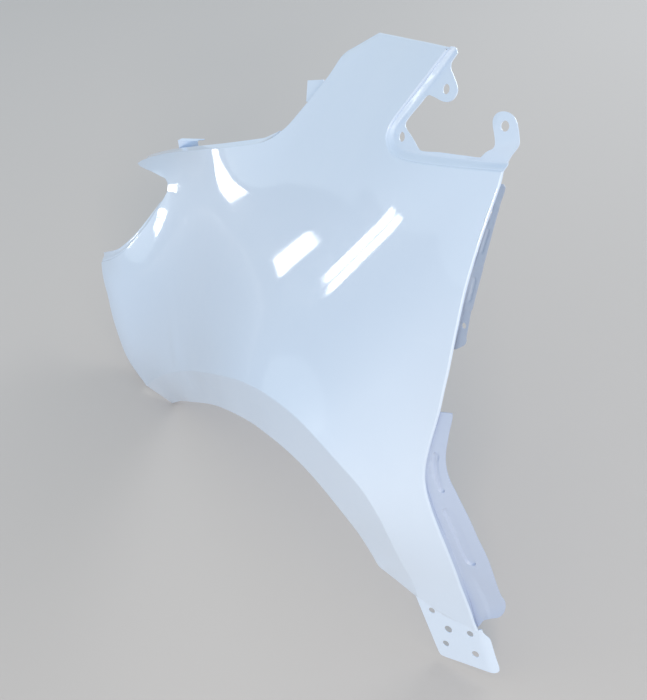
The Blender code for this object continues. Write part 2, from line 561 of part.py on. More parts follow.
# Flat band between the crease and the wheel arch edge, with its inner lip
crease_row = raised(crease, skin_inset)
edge_row = smooth_path(ARCH_EDGE, 0.002)
pick = np.linspace(0, len(edge_row) - 1, len(crease_row)).round().astype(int)
edge_row = edge_row[pick]
band = [crease_row + (edge_row - crease_row) * share for share in (0.0, 0.5, 1.0)]
across = edge_row - crease_row
across = across / np.linalg.norm(across, axis=1)[:, None]
for inward, drop in ARCH_LIP:
    band.append(edge_row + np.array((0.0, inward, 0.0)) + across * (0.002 - drop))
lay_rows(sheet, band)

# Plain walls behind the edges that carry no visible flange
for row, path in ((bumper_row, bumper), (tip_row, tip), (horn_row, horn)):
    normal = outward(path)
    rows = [row]
    for out, depth in EDGE_WALL:
        wall = row.copy()
        wall[:, 0] += normal[:, 0] * (out - EDGE_BEND[-1][0])
        wall[:, 2] += normal[:, 1] * (out - EDGE_BEND[-1][0])
        wall[:, 1] += depth - EDGE_BEND[-1][1]
        rows.append(wall)
    lay_rows(sheet, [r[1:-1] for r in rows])

# Recess, tabs and gusset round the notch
floor_line = resample(CHANNEL_LINE, len(notch))
step_between(sheet, notch_row, raised(floor_line, channel_inset))
free_edge = np.vstack([smooth_path(FRONT_TAB, 0.006)[:-1], smooth_path(GUSSET_EDGE, 0.009)[:-1],
                       smooth_path(REAR_TAB, 0.006)])
fill_patch(sheet, np.vstack([floor_line, free_edge]), channel_inset, 0.0085, holes=TAB_HOLES)

# Return flanges of the door edge
root = resample(HIGH_FLANGE_ROOT, len(door_high))
step_between(sheet, high_row, raised(root, high_flange_inset))
free_edge = smooth_path(HIGH_FLANGE, 0.009)
pads = [stadium(line, half - ramp, 0.009) for half, line in HIGH_PRESSINGS
        for ramp in (PRESSING_RAMP, 0.0)]
fill_patch(sheet, np.vstack([root, free_edge]), high_flange_inset, 0.009,
           holes=[HIGH_FLANGE_HOLE], rings=pads)
root = resample(LOW_FLANGE_ROOT, len(door_low))
step_between(sheet, low_row, raised(root, low_flange_inset))
free_edge = smooth_path(LOW_FLANGE, 0.011)
pads = [stadium(line, half - ramp, 0.011) for half, line in LOW_PRESSINGS
        for ramp in (PRESSING_RAMP, 0.0)]
fill_patch(sheet, np.vstack([root, free_edge]), low_flange_inset, 0.010, rings=pads)

# Lower plate, joggled down from the skin
below = joggle + np.array((-0.0012, -0.0035))
lay_rows(sheet, [raised(joggle, skin_inset), raised(below, plate_inset)])
below = np.vstack([[(0.5752, 0.0900)], below])
free_edge = smooth_path(PLATE_OUTLINE, 0.010)
fill_patch(sheet, np.vstack([below, free_edge]), plate_inset, 0.012, holes=PLATE_HOLES)

# Shelf and inner flange of the hood line, and the lip of the lamp cut out
shelf = resample(HOOD_SHELF, len(hood))
shelf_row = raised(shelf, skin_inset, HOOD_SHELF_DEPTH)
turned = shelf_row + np.array((0.0, HOOD_FLANGE_DEPTH - HOOD_SHELF_DEPTH, -0.004))
lay_rows(sheet, [hood_row, shelf_row, turned])
lip = resample(LAMP_LIP, len(lamp))
lip_row = raised(lip, skin_inset, LAMP_LIP_DEPTH)
step_between(sheet, lamp_row, lip_row)
lay_rows(sheet, [lip_row, lip_row + np.array((0.0, 0.006, 0.0))])

bmesh.ops.remove_doubles(sheet, verts=sheet.verts, dist=2e-5)
points = np.array([v.co for v in sheet.verts])
stretch = np.array((PANEL_LENGTH, PANEL_DEPTH, PANEL_HEIGHT)) / np.ptp(points, axis=0)
mount_x, mount_z = MOUNT_POINT
tilt = math.sqrt(1.0 + PLATE_SLOPE_X ** 2 + PLATE_SLOPE_Z ** 2)
mount_y = float(plate_inset(mount_x, mount_z)[0]) + SHEET * tilt
origin = np.array((mount_x, mount_y, mount_z))
bmesh.ops.translate(sheet, verts=sheet.verts, vec=tuple(-origin))
bmesh.ops.scale(sheet, verts=sheet.verts, vec=tuple(stretch))
bmesh.ops.recalc_face_normals(sheet, faces=sheet.faces)
sheet.normal_update()
facing = sum(face.normal.y * face.calc_area() for face in sheet.faces)
if facing > 0:
    bmesh.ops.reverse_faces(sheet, faces=sheet.faces)
for face in sheet.faces:
    face.smooth = True

panel_mesh = bpy.data.meshes.new("fender_panel")
sheet.to_mesh(panel_mesh)
sheet.free()
panel = bpy.data.objects.new("fender_panel", panel_mesh)
bpy.context.scene.collection.objects.link(panel)

shell = panel.modifiers.new("sheet thickness", "SOLIDIFY")
shell.thickness = SHEET
shell.offset = -1.0
shell.use_rim = True
shell.use_even_offset = False

# Bracket behind the hood line: a standing plate, a shelf and an arm
grow = np.array((PANEL_LENGTH, PANEL_DEPTH, PANEL_HEIGHT)) / DRAWN_SIZE
foot = raised(np.array([BRACKET_ROOT]), skin_inset, 0.008)[0] - origin
foot = (foot + np.array((0.0, 0.0, -0.009))) * grow
wide = np.array((math.cos(BRACKET_TURN), math.sin(BRACKET_TURN), 0.0)) * BRACKET_WIDTH
tall = np.array((0.0, 0.0, BRACKET_HEIGHT + 0.009))
away = np.array((-0.2, 0.98, 0.0)) * BRACKET_SHELF
arm = wide * (BRACKET_ARM / BRACKET_WIDTH)
top = foot + tall
join_in(panel, slab("bracket_plate", (foot, foot + wide, top + wide, top), SHEET))
join_in(panel, slab("bracket_shelf", (top - away * 0.1, top + wide - away * 0.1,
                                      top + wide + away * 0.45, top + wide + arm + away * 0.5,
                                      top + wide + arm + away, top + away), SHEET))
corners = (raised(np.array(HORN_TAB), skin_inset, HORN_TAB_DEPTH) - origin) * grow
join_in(panel, slab("horn_tab", corners, SHEET))

paint = bpy.data.materials.new("pale_blue_paint")
paint.use_nodes = True
shader = paint.node_tree.nodes["Principled BSDF"]
shader.inputs["Base Color"].default_value = PAINT
shader.inputs["Roughness"].default_value = 0.12
shader.inputs["Metallic"].default_value = 0.0
panel_mesh.materials.append(paint)
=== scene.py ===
import math

import bmesh
import bpy
import numpy as np
from mathutils import Matrix, Vector
from mathutils.geometry import delaunay_2d_cdt


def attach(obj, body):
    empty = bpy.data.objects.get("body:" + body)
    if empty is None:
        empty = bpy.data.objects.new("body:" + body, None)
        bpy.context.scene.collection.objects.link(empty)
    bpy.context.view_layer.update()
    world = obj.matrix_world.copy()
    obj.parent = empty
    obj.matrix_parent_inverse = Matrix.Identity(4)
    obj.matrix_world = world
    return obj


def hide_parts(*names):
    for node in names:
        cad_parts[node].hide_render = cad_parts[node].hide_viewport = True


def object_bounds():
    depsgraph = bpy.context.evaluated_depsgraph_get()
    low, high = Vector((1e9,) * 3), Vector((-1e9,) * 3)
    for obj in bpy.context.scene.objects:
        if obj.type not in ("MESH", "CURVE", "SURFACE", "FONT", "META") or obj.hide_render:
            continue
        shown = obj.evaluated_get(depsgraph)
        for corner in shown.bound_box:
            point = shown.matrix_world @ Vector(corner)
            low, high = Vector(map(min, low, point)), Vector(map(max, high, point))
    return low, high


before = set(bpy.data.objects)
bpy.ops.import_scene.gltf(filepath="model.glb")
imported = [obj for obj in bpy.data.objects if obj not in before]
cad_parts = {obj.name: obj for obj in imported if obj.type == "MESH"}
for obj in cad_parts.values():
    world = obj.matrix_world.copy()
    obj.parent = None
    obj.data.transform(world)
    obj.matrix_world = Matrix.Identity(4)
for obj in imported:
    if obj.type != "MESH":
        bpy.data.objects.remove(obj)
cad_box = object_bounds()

# Overall size of the sheet, metres, and the length, depth and height that the outlines
# below are drawn to
PANEL_LENGTH = 1.002
PANEL_HEIGHT = 0.6503
PANEL_DEPTH = 0.2672
DRAWN_SIZE = (1.002, 0.2672, 0.6503)

# Sheet and mesh sizes, metres
SHEET = 0.0009
CELL = 0.0060
CHANNEL_CELL = 0.0030
HIGH_FLANGE_CELL = 0.0016
LOW_FLANGE_CELL = 0.0024
PLATE_CELL = 0.0040
EDGE_STEP = 0.0050
NOTCH_STEP = EDGE_STEP * 0.55
NOSE_STEP = EDGE_STEP * 0.8
TAB_STEP = 0.002
RIM_STEP = 0.003
FINE_STEP = 0.0005
MERGE_GAP = 2e-5

# Cuts in a curve between two points, points of a half round end and sides of a hole
CURVE_CUTS = 16
CAP_CUTS = 5
HOLE_SIDES = 36

# The outer skin is drawn as eight cross sections. Each row gives the inset of the
# skin in millimetres at six heights, lowest first. The section grid is pitched
# nose down by PITCH against the floor.
PITCH = math.radians(15.0)
STATION_RANGE = (-0.33, 0.79)
HEIGHT_RANGE = (-0.16, 0.54)
SECTIONS = (
    (-27.8, 13.1, 30.7, 124.4, 281.4, 408.5),
    (-35.2, -7.7, 14.9, 94.1, 231.5, 343.7),
    (-38.0, -25.3, 12.0, 98.6, 176.5, 252.0),
    (-60.4, -90.7, -19.2, 71.4, 151.6, 224.8),
    (-68.6, -133.3, -73.5, 34.3, 140.3, 233.3),
    (-28.3, -71.3, -92.7, 7.6, 99.0, 212.3),
    (20.3, -4.2, -35.7, -9.0, 58.9, 152.6),
    (76.4, 50.8, 39.9, 6.2, 44.9, 109.2),
)

# Soft ridge that bounds the wheel flare at the front
RIDGE = ((-0.190, 0.174), (-0.124, 0.175), (-0.076, 0.178), (-0.040, 0.180),
         (-0.012, 0.176), (0.010, 0.166), (0.027, 0.155), (0.047, 0.147),
         (0.073, 0.145), (0.104, 0.152), (0.124, 0.159))
RIDGE_RISE = 0.0009
RIDGE_WIDTH = 0.013
RIDGE_FADE = 5.0

# Rolled facet along the front of the horn, beyond a straight fold
HORN_FOLD = ((0.2465, 0.5631), (0.3272, 0.6150))
HORN_FOLD_BLEND = 0.02
HORN_ROLL_RADIUS = 0.014

# Outline of the skin in side view, (x, z) in metres
BUMPER_EDGE = ((-0.290, 0.118), (-0.277, 0.110), (-0.253, 0.098), (-0.229, 0.087),
               (-0.204, 0.064), (-0.180, 0.041), (-0.152, 0.016), (-0.133, 0.008),
               (-0.108, 0.004), (-0.087, 0.003), (-0.065, 0.004))
ARCH_CREASE = ((-0.065, 0.004), (-0.0115, 0.0540), (0.040, 0.097), (0.0837, 0.129),
               (0.146, 0.172), (0.187, 0.198), (0.244, 0.233), (0.320, 0.273),
               (0.391, 0.298), (0.451, 0.306), (0.500, 0.297), (0.539, 0.274),
               (0.557, 0.243), (0.565, 0.210), (0.569, 0.180), (0.572, 0.157),
               (0.5765, 0.132), (0.579, 0.112), (0.580, 0.095))
JOGGLE_LINE = ((0.580, 0.095), (0.594, 0.087), (0.610, 0.082), (0.628, 0.079),
               (0.6447, 0.0769))
DOOR_LOW = ((0.6447, 0.0769), (0.6381, 0.113), (0.6308, 0.148), (0.6255, 0.183),
            (0.6196, 0.2156), (0.613, 0.2455), (0.606, 0.2735), (0.600, 0.2996),
            (0.5977, 0.3218), (0.599, 0.347), (0.6015, 0.370), (0.604, 0.392))
DOOR_MIDDLE = ((0.604, 0.392), (0.6050, 0.418), (0.6054, 0.437), (0.6048, 0.453))
DOOR_HIGH = ((0.6048, 0.453), (0.6028, 0.480), (0.6000, 0.506), (0.5985, 0.530),
             (0.5976, 0.556), (0.5970, 0.586))
DOOR_TOP = ((0.5970, 0.586), (0.5953, 0.596))
NOTCH_EDGE = ((0.5953, 0.5960), (0.5711, 0.5887), (0.5475, 0.5814), (0.5077, 0.5692),
              (0.4802, 0.5608), (0.4555, 0.5545), (0.4415, 0.5528), (0.4320, 0.5533),
              (0.4231, 0.5563), (0.4181, 0.5603), (0.4176, 0.5661), (0.4206, 0.5734),
              (0.4265, 0.5835), (0.4352, 0.5970), (0.4436, 0.6103), (0.4522, 0.6229),
              (0.4576, 0.6314), (0.4630, 0.6393), (0.4672, 0.6458))
HORN_END = ((0.4672, 0.6458), (0.4305, 0.6380), (0.3694, 0.6241), (0.3072, 0.6103))
HORN_EDGE = ((0.3072, 0.6103), (0.2915, 0.6014), (0.2700, 0.5890), (0.2446, 0.5730),
             (0.2388, 0.5611), (0.2319, 0.5488), (0.2262, 0.5415), (0.2054, 0.5150),
             (0.1914, 0.4977), (0.1815, 0.4854), (0.1739, 0.4774), (0.1651, 0.4700),
             (0.1560, 0.4625), (0.1470, 0.4560))
HOOD_EDGE = ((0.1470, 0.4560), (0.1307, 0.4470), (0.1029, 0.4354), (0.0779, 0.4258),
             (0.0228, 0.4050), (-0.0462, 0.3782), (-0.1306, 0.3442), (-0.2081, 0.3115),
             (-0.2545, 0.2910), (-0.2963, 0.2714))
TIP_EDGE = ((-0.2963, 0.2714), (-0.3232, 0.2573), (-0.3331, 0.2499), (-0.3145, 0.2532),
            (-0.2380, 0.2742), (-0.1855, 0.2864), (-0.1612, 0.2910), (-0.1469, 0.2892),
            (-0.1408, 0.2843), (-0.1430, 0.2748), (-0.1480, 0.2638))
LAMP_EDGE = ((-0.1480, 0.2638), (-0.1540, 0.2516), (-0.1586, 0.2407), (-0.1641, 0.2285),
             (-0.1713, 0.2154), (-0.1811, 0.2017), (-0.1936, 0.1852), (-0.2096, 0.1691),
             (-0.2411, 0.1460), (-0.2700, 0.1290), (-0.2900, 0.1180))

# Wheel arch edge, (x, y, z) in metres, at the lower border of the flat band, and the
# shares of the band's width at which its rows lie
ARCH_EDGE = ((-0.0047, 0.0020, -0.0043), (0.0500, -0.0070, 0.0415),
             (0.1082, -0.0175, 0.0847), (0.2119, -0.0330, 0.1563),
             (0.2786, -0.0421, 0.1933), (0.3308, -0.0470, 0.2145),
             (0.3784, -0.0519, 0.2282), (0.4190, -0.0540, 0.2330),
             (0.4533, -0.0530, 0.2262), (0.4793, -0.0502, 0.2116),
             (0.5013, -0.0454, 0.1911), (0.5150, -0.0382, 0.1671),
             (0.5239, -0.0336, 0.1476), (0.5294, -0.0300, 0.1322),
             (0.5344, -0.0274, 0.1200), (0.5463, -0.0217, 0.1108),
             (0.5576, -0.0170, 0.1033), (0.5750, -0.0108, 0.0930))
BAND_ROWS = (0.0, 0.03, 0.08, 0.18, 0.34, 0.50, 0.66, 0.82, 0.93, 1.0)

# Recess round the quarter glass notch with two bolt tabs and a gusset
CHANNEL_DEPTH = 0.008
CHANNEL_LINE = ((0.5916, 0.5991), (0.5724, 0.5934), (0.5488, 0.5865), (0.5233, 0.5786),
                (0.4950, 0.5699), (0.4677, 0.5619), (0.4515, 0.5577), (0.4386, 0.5561),
                (0.4293, 0.5568), (0.4245, 0.5595), (0.4224, 0.5635), (0.4240, 0.5690),
                (0.4293, 0.5772), (0.4367, 0.5880), (0.4450, 0.6000), (0.4512, 0.6096),
                (0.4560, 0.6175), (0.4611, 0.6264), (0.4663, 0.6358), (0.4712, 0.6450))
FRONT_TAB = ((0.4762, 0.6428), (0.4744, 0.6390), (0.4722, 0.6343), (0.4750, 0.6308),
             (0.4809, 0.6289), (0.4883, 0.6266), (0.4956, 0.6236), (0.4986, 0.6212),
             (0.4992, 0.6180), (0.4972, 0.6143), (0.4928, 0.6109), (0.4871, 0.6088),
             (0.4805, 0.6074), (0.4710, 0.6064), (0.4624, 0.6052), (0.4560, 0.6037),
             (0.4533, 0.6020), (0.4482, 0.5943), (0.4427, 0.5867), (0.4374, 0.5787),
             (0.4353, 0.5742))
GUSSET_EDGE = ((0.4353, 0.5742), (0.4370, 0.5723), (0.4427, 0.5711), (0.4520, 0.5704),
               (0.4627, 0.5690), (0.4722, 0.5673), (0.4780, 0.5672), (0.5076, 0.5766),
               (0.5349, 0.5844), (0.5550, 0.5903), (0.5614, 0.5924))
REAR_TAB = ((0.5614, 0.5924), (0.5670, 0.5991), (0.5728, 0.6035), (0.5740, 0.6059),
            (0.5728, 0.6084), (0.5662, 0.6148), (0.5623, 0.6178), (0.5603, 0.6206),
            (0.5613, 0.6243), (0.5647, 0.6273), (0.5701, 0.6296), (0.5760, 0.6307),
            (0.5816, 0.6303), (0.5866, 0.6287), (0.5918, 0.6247), (0.5958, 0.6204),
            (0.5981, 0.6170), (0.5984, 0.6141), (0.5965, 0.6096), (0.5936, 0.6047),
            (0.5924, 0.6016))
TAB_HOLES = ((0.4810, 0.6167, 0.0058, 0.0036), (0.4392, 0.5638, 0.0060, 0.0035),
             (0.5772, 0.6214, 0.0052, 0.0036))
REAR_TAB_FOLD = ((0.5728, 0.6055), (0.5990, 0.6190))
REAR_TAB_RISE = 0.0035
REAR_TAB_RAMP = 0.013
REAR_TAB_START = 0.545
REAR_TAB_BLEND = 0.02

# Return flanges behind the door edge
HIGH_FLANGE_DEPTH = 0.0052
HIGH_FLANGE_ROOT = ((0.6020, 0.4529), (0.6030, 0.4625), (0.6030, 0.4760), (0.6018, 0.4877),
                    (0.6010, 0.4968), (0.5995, 0.5168), (0.5980, 0.5358), (0.5974, 0.5558),
                    (0.5965, 0.5741), (0.5952, 0.5861))
HIGH_FLANGE = ((0.5993, 0.5875), (0.6017, 0.5865), (0.6026, 0.5835), (0.6028, 0.5781),
               (0.6026, 0.5735), (0.6031, 0.5685), (0.6042, 0.5583), (0.6057, 0.5466),
               (0.6069, 0.5362), (0.6079, 0.5247), (0.6088, 0.5138), (0.6097, 0.5017),
               (0.6102, 0.4938), (0.6091, 0.4907), (0.6101, 0.4839), (0.6112, 0.4757),
               (0.6119, 0.4686), (0.6131, 0.4654), (0.6122, 0.4619), (0.6083, 0.4577),
               (0.6049, 0.4543))
HIGH_FLANGE_HOLE = (0.6066, 0.4768, 0.0024, 0.0024)

# Small steps across the upper flange: height at the door line and rise outboard
FLANGE_STEPS = ((0.4864, 0.0008), (0.5215, 0.0008), (0.5725, 0.0008))
FLANGE_STEP_SLOPE = 0.65
FLANGE_STEP_X = 0.600
FLANGE_STEP_RAMP = 0.0014

LOW_FLANGE_DEPTH = (0.0045, 0.0080)
LOW_FLANGE_RANGE = (0.380, 0.090)
LOW_FLANGE_ROOT = ((0.6412, 0.0720), (0.6385, 0.0851), (0.6368, 0.0990), (0.6339, 0.1227),
                   (0.6309, 0.1405), (0.6288, 0.1588), (0.6264, 0.1766), (0.6235, 0.1935),
                   (0.6206, 0.2099), (0.6176, 0.2256), (0.6135, 0.2401), (0.6097, 0.2541),
                   (0.6062, 0.2676), (0.6028, 0.2806), (0.5996, 0.2930), (0.5982, 0.3055),
                   (0.5978, 0.3180), (0.5980, 0.3305), (0.5985, 0.3433), (0.5997, 0.3583),
                   (0.6010, 0.3742), (0.6023, 0.3895))
LOW_FLANGE = ((0.6141, 0.3939), (0.6148, 0.3916), (0.6146, 0.3824), (0.6137, 0.3715),
              (0.6132, 0.3617), (0.6127, 0.3505), (0.6131, 0.3384), (0.6145, 0.3289),
              (0.6165, 0.3208), (0.6196, 0.3117), (0.6237, 0.3027), (0.6284, 0.2910),
              (0.6327, 0.2800), (0.6373, 0.2675), (0.6415, 0.2543), (0.6455, 0.2406),
              (0.6506, 0.2255), (0.6547, 0.2112), (0.6581, 0.1958), (0.6609, 0.1816),
              (0.6638, 0.1652), (0.6662, 0.1539), (0.6693, 0.1476), (0.6708, 0.1403),
              (0.6709, 0.1305), (0.6688, 0.1220), (0.6657, 0.1158), (0.6599, 0.1091),
              (0.6550, 0.1034), (0.6485, 0.0928), (0.6441, 0.0799))

# Step and outboard lip at the foot of the lower flange
LOW_CREASE = ((0.6551, 0.1055), (0.6499, 0.1254), (0.6451, 0.1434), (0.6406, 0.1615),
              (0.6363, 0.1776))
LOW_CREASE_STEP = 0.0012
LOW_CREASE_RAMP = 0.0014
LOW_CREASE_FADE = 0.03
LOW_LIP_FOLD = ((0.6698, 0.1481), (0.6488, 0.1185))
LOW_LIP_RADIUS = 0.030
LOW_LIP_START = 0.644
LOW_LIP_BLEND = 0.012

# Shallow recesses pressed into the flanges: half width and middle line, their depth, the
# share of it that the upper flange has, and the width of their ramps
LOW_PRESSINGS = ((0.0032, ((0.6040, 0.3402), (0.6036, 0.3310), (0.6055, 0.3194), (0.6083, 0.3077),
                           (0.6116, 0.2978))),
                 (0.0056, ((0.6183, 0.2700), (0.6241, 0.2518), (0.6293, 0.2319),
                           (0.6338, 0.2124), (0.6374, 0.1980))))
HIGH_PRESSINGS = ((0.0022, ((0.6004, 0.5524), (0.6008, 0.5447), (0.6014, 0.5370))),
                  (0.0022, ((0.6032, 0.5151), (0.6042, 0.5087), (0.6049, 0.4989))))
PRESSING_DEPTH = 0.0026
HIGH_PRESSING_SHARE = 0.45
PRESSING_RAMP = 0.0015

# Lower plate with five bolt holes: a flat face, folded inboard along its rear border, and
# the joggle that leads down to it from the skin
PLATE_X = 0.607
PLATE_SLOPE_X = 0.40
PLATE_SLOPE_Z = 0.04
PLATE_FOLD = ((0.6455, 0.0684), (0.6625, 0.0090))
PLATE_FOLD_RADIUS = 0.010
PLATE_OUTLINE = ((0.6484, 0.0770), (0.6491, 0.0743), (0.6508, 0.0705), (0.6536, 0.0668),
                 (0.6563, 0.0629), (0.6575, 0.0598), (0.6640, 0.0376), (0.6706, 0.0154),
                 (0.6709, 0.0114), (0.6691, 0.0085), (0.6657, 0.0080), (0.6380, 0.0045),
                 (0.6107, 0.0010), (0.6080, 0.0016), (0.6064, 0.0042), (0.5900, 0.0485))
PLATE_HOLES = ((0.5939, 0.0760, 0.0034, 0.0047), (0.6137, 0.0546, 0.0041, 0.0060),
               (0.6373, 0.0625, 0.0036, 0.0051), (0.6126, 0.0266, 0.0036, 0.0051),
               (0.6458, 0.0301, 0.0039, 0.0055))
MOUNT_POINT = (0.626, 0.043)
JOGGLE_SHIFT = (-0.0012, -0.0035)
JOGGLE_START = (0.5752, 0.0900)

# Hood flange, lamp lip and horn flange
HOOD_SHELF_DEPTH = 0.006
HOOD_SHELF = ((0.1540, 0.4650), (0.1400, 0.4569), (0.1257, 0.4489), (0.1024, 0.4396),
              (0.0653, 0.4254), (0.0091, 0.4037), (-0.0623, 0.3756), (-0.1797, 0.3272),
              (-0.2277, 0.3064), (-0.2750, 0.2853), (-0.3080, 0.2690))
HOOD_FLANGE_DEPTH = 0.024
HOOD_FLANGE_DROP = 0.004
LAMP_LIP_DEPTH = 0.004
LAMP_LIP_WALL = 0.006
LAMP_LIP = ((-0.1562, 0.2603), (-0.1635, 0.2478), (-0.1709, 0.2359), (-0.1781, 0.2240),
            (-0.1872, 0.2099), (-0.2001, 0.1942), (-0.2157, 0.1784), (-0.2325, 0.1647),
            (-0.2546, 0.1513), (-0.2820, 0.1373), (-0.3010, 0.1275))
EDGE_BEND = ((0.0005, 0.0002), (0.0010, 0.0008), (0.0013, 0.0016), (0.0014, 0.0026))
EDGE_WALL = ((0.0008, 0.0060), (-0.0006, 0.0120))
STEP_PROFILE = ((0.10, 0.03), (0.22, 0.16), (0.34, 0.36), (0.48, 0.60), (0.62, 0.80),
                (0.76, 0.93), (0.88, 0.985), (1.0, 1.0))
ARCH_LIP = ((0.0016, 0.0006), (0.0060, 0.0012), (0.0140, 0.0030))
ARCH_LIP_REACH = 0.002

# Small welded bracket behind the hood line and tab in front of the horn
BRACKET_ROOT = (-0.163, 0.334)
BRACKET_INSET = 0.008
BRACKET_SUNK = 0.009
BRACKET_WIDTH = 0.0330
BRACKET_HEIGHT = 0.0120
BRACKET_SHELF = 0.0085
BRACKET_ARM = 0.0060
BRACKET_TURN = math.radians(40.0)
BRACKET_AWAY = (-0.2, 0.98, 0.0)
HORN_TAB = ((0.1772, 0.5259), (0.1916, 0.5077), (0.2080, 0.5120), (0.2240, 0.5330),
            (0.2141, 0.5373))
HORN_TAB_DEPTH = 0.0090

# How the outer skin's normals are made fair: the degree, centre and half size of the fit,
# its share, the border it leaves alone and how far it may turn a face's own normal
FAIR_DEGREE = 5
FAIR_CENTRE = (0.15, 0.32)
FAIR_HALF = (0.5, 0.33)
FAIR_SHARE = 0.85
FAIR_BORDER = 0.070
FAIR_AGREES = 0.80
SKIN_GAP = 3e-6
SLOPE_REACH = 0.001
SHARP_ANGLE = math.radians(38.0)


def spline_weights(first, last, count, values):
    """Natural cubic spline weights of evenly spaced knots at the given values"""
    step = (last - first) / (count - 1)
    system = np.eye(count)
    right = np.zeros((count, count))
    for k in range(1, count - 1):
        system[k, k - 1:k + 2] = (1.0, 4.0, 1.0)
        right[k, k - 1:k + 2] = (6.0 / step ** 2, -12.0 / step ** 2, 6.0 / step ** 2)
    bend = np.linalg.solve(system, right)
    place = (values - first) / step
    cell = np.clip(np.floor(place).astype(int), 0, count - 2)
    b = place - cell
    a = 1.0 - b
    weights = np.zeros((len(values), count))
    row = np.arange(len(values))
    weights[row, cell] += a
    weights[row, cell + 1] += b
    curve_a = (a ** 3 - a)[:, None] * bend[cell]
    curve_b = (b ** 3 - b)[:, None] * bend[cell + 1]
    return weights + (curve_a + curve_b) * step ** 2 / 6.0


def distance_to(path, x, z):
    """Distance of points to a polyline and the share of its length passed"""
    pts = np.stack([x, z], 1)
    start = path[:-1]
    span = path[1:] - start
    length = np.hypot(span[:, 0], span[:, 1])
    t = ((pts[:, None] - start) * span).sum(2) / length ** 2
    t = np.clip(t, 0.0, 1.0)
    gap = pts[:, None] - (start + t[..., None] * span)
    dist = np.hypot(gap[..., 0], gap[..., 1])
    best = dist.argmin(1)
    row = np.arange(len(x))
    run = np.concatenate([[0.0], np.cumsum(length)])
    share = (run[best] + t[row, best] * length[best]) / run[-1]
    return dist[row, best], share


def past_fold(fold, x, z):
    """How far points lie past a straight fold, on the left of its direction"""
    (x0, z0), (x1, z1) = fold
    length = math.hypot(x1 - x0, z1 - z0)
    return np.clip(((x1 - x0) * (z - z0) - (z1 - z0) * (x - x0)) / length, 0.0, None)


def pressed(x, z, pressings):
    """Depth of the recesses at side view points"""
    depth = np.zeros(len(x))
    for half, line in pressings:
        share = (half - distance_to(np.array(line), x, z)[0]) / PRESSING_RAMP
        share = np.clip(share, 0.0, 1.0)
        depth = depth + PRESSING_DEPTH * share * share * (3.0 - 2.0 * share)
    return depth


def skin_inset(x, z):
    """Inboard inset of the outer skin at side view points"""
    x = np.atleast_1d(np.asarray(x, float))
    z = np.atleast_1d(np.asarray(z, float))
    along = x * math.cos(PITCH) + z * math.sin(PITCH)
    height = -x * math.sin(PITCH) + z * math.cos(PITCH)
    net = np.array(SECTIONS) * 0.001
    wa = spline_weights(*STATION_RANGE, net.shape[0], along)
    wh = spline_weights(*HEIGHT_RANGE, net.shape[1], height)
    inset = np.einsum("ki,kj,ij->k", wa, wh, net)
    dist, share = distance_to(np.array(RIDGE), x, z)
    fade = np.clip(np.minimum(share, 1.0 - share) * RIDGE_FADE, 0.0, 1.0)
    inset = inset - RIDGE_RISE * fade * np.exp(-(dist / RIDGE_WIDTH) ** 2)
    blend = np.clip((x - HORN_FOLD[0][0]) / HORN_FOLD_BLEND + 1.0, 0.0, 1.0)
    past = past_fold(HORN_FOLD, x, z) * blend
    return inset + past ** 2 / (2.0 * HORN_ROLL_RADIUS)


def channel_inset(x, z):
    """Floor of the notch recess, ramped outboard below the fold of the rear tab"""
    x = np.atleast_1d(np.asarray(x, float))
    z = np.atleast_1d(np.asarray(z, float))
    (x0, z0), (x1, z1) = REAR_TAB_FOLD
    length = math.hypot(x1 - x0, z1 - z0)
    above = ((x1 - x0) * (z - z0) - (z1 - z0) * (x - x0)) / length
    ramp = np.clip(above / REAR_TAB_RAMP + 1.0, 0.0, 1.0)
    ramp = ramp * np.clip((x - REAR_TAB_START) / REAR_TAB_BLEND, 0.0, 1.0)
    return skin_inset(x, z) + CHANNEL_DEPTH - REAR_TAB_RISE * ramp


def high_flange_inset(x, z):
    """Upper return flange of the door edge with its steps and recesses"""
    x = np.atleast_1d(np.asarray(x, float))
    z = np.atleast_1d(np.asarray(z, float))
    sunk = HIGH_PRESSING_SHARE * pressed(x, z, HIGH_PRESSINGS)
    inset = skin_inset(x, z) + HIGH_FLANGE_DEPTH + sunk
    for height, rise in FLANGE_STEPS:
        above = z - height - FLANGE_STEP_SLOPE * (x - FLANGE_STEP_X)
        inset = inset - rise * np.clip(above / FLANGE_STEP_RAMP, 0.0, 1.0)
    return inset


def low_flange_inset(x, z):
    """Lower return flange of the door edge with its recesses, step and lip"""
    x = np.atleast_1d(np.asarray(x, float))
    z = np.atleast_1d(np.asarray(z, float))
    top, bottom = LOW_FLANGE_RANGE
    share = np.clip((top - z) / (top - bottom), 0.0, 1.0)
    shallow, deep = LOW_FLANGE_DEPTH
    inset = skin_inset(x, z) + shallow + (deep - shallow) * share
    inset = inset + pressed(x, z, LOW_PRESSINGS)
    ends = (LOW_CREASE[-1], LOW_CREASE[0])
    beside = np.clip(past_fold(ends, x, z) / LOW_CREASE_RAMP, 0.0, 1.0)
    fade = np.clip((LOW_CREASE[-1][1] - z) / LOW_CREASE_FADE, 0.0, 1.0)
    inset = inset + LOW_CREASE_STEP * beside * fade
    blend = np.clip((x - LOW_LIP_START) / LOW_LIP_BLEND, 0.0, 1.0)
    lip = past_fold(LOW_LIP_FOLD, x, z) * blend
    return inset - lip ** 2 / (2.0 * LOW_LIP_RADIUS)


def plate_inset(x, z):
    """Flat face of the lower plate and its rounded rear fold"""
    x = np.atleast_1d(np.asarray(x, float))
    z = np.atleast_1d(np.asarray(z, float))
    past = past_fold(PLATE_FOLD, x, z)
    flat = PLATE_SLOPE_X * (x - PLATE_X) + PLATE_SLOPE_Z * z
    return flat + past ** 2 / (2.0 * PLATE_FOLD_RADIUS)


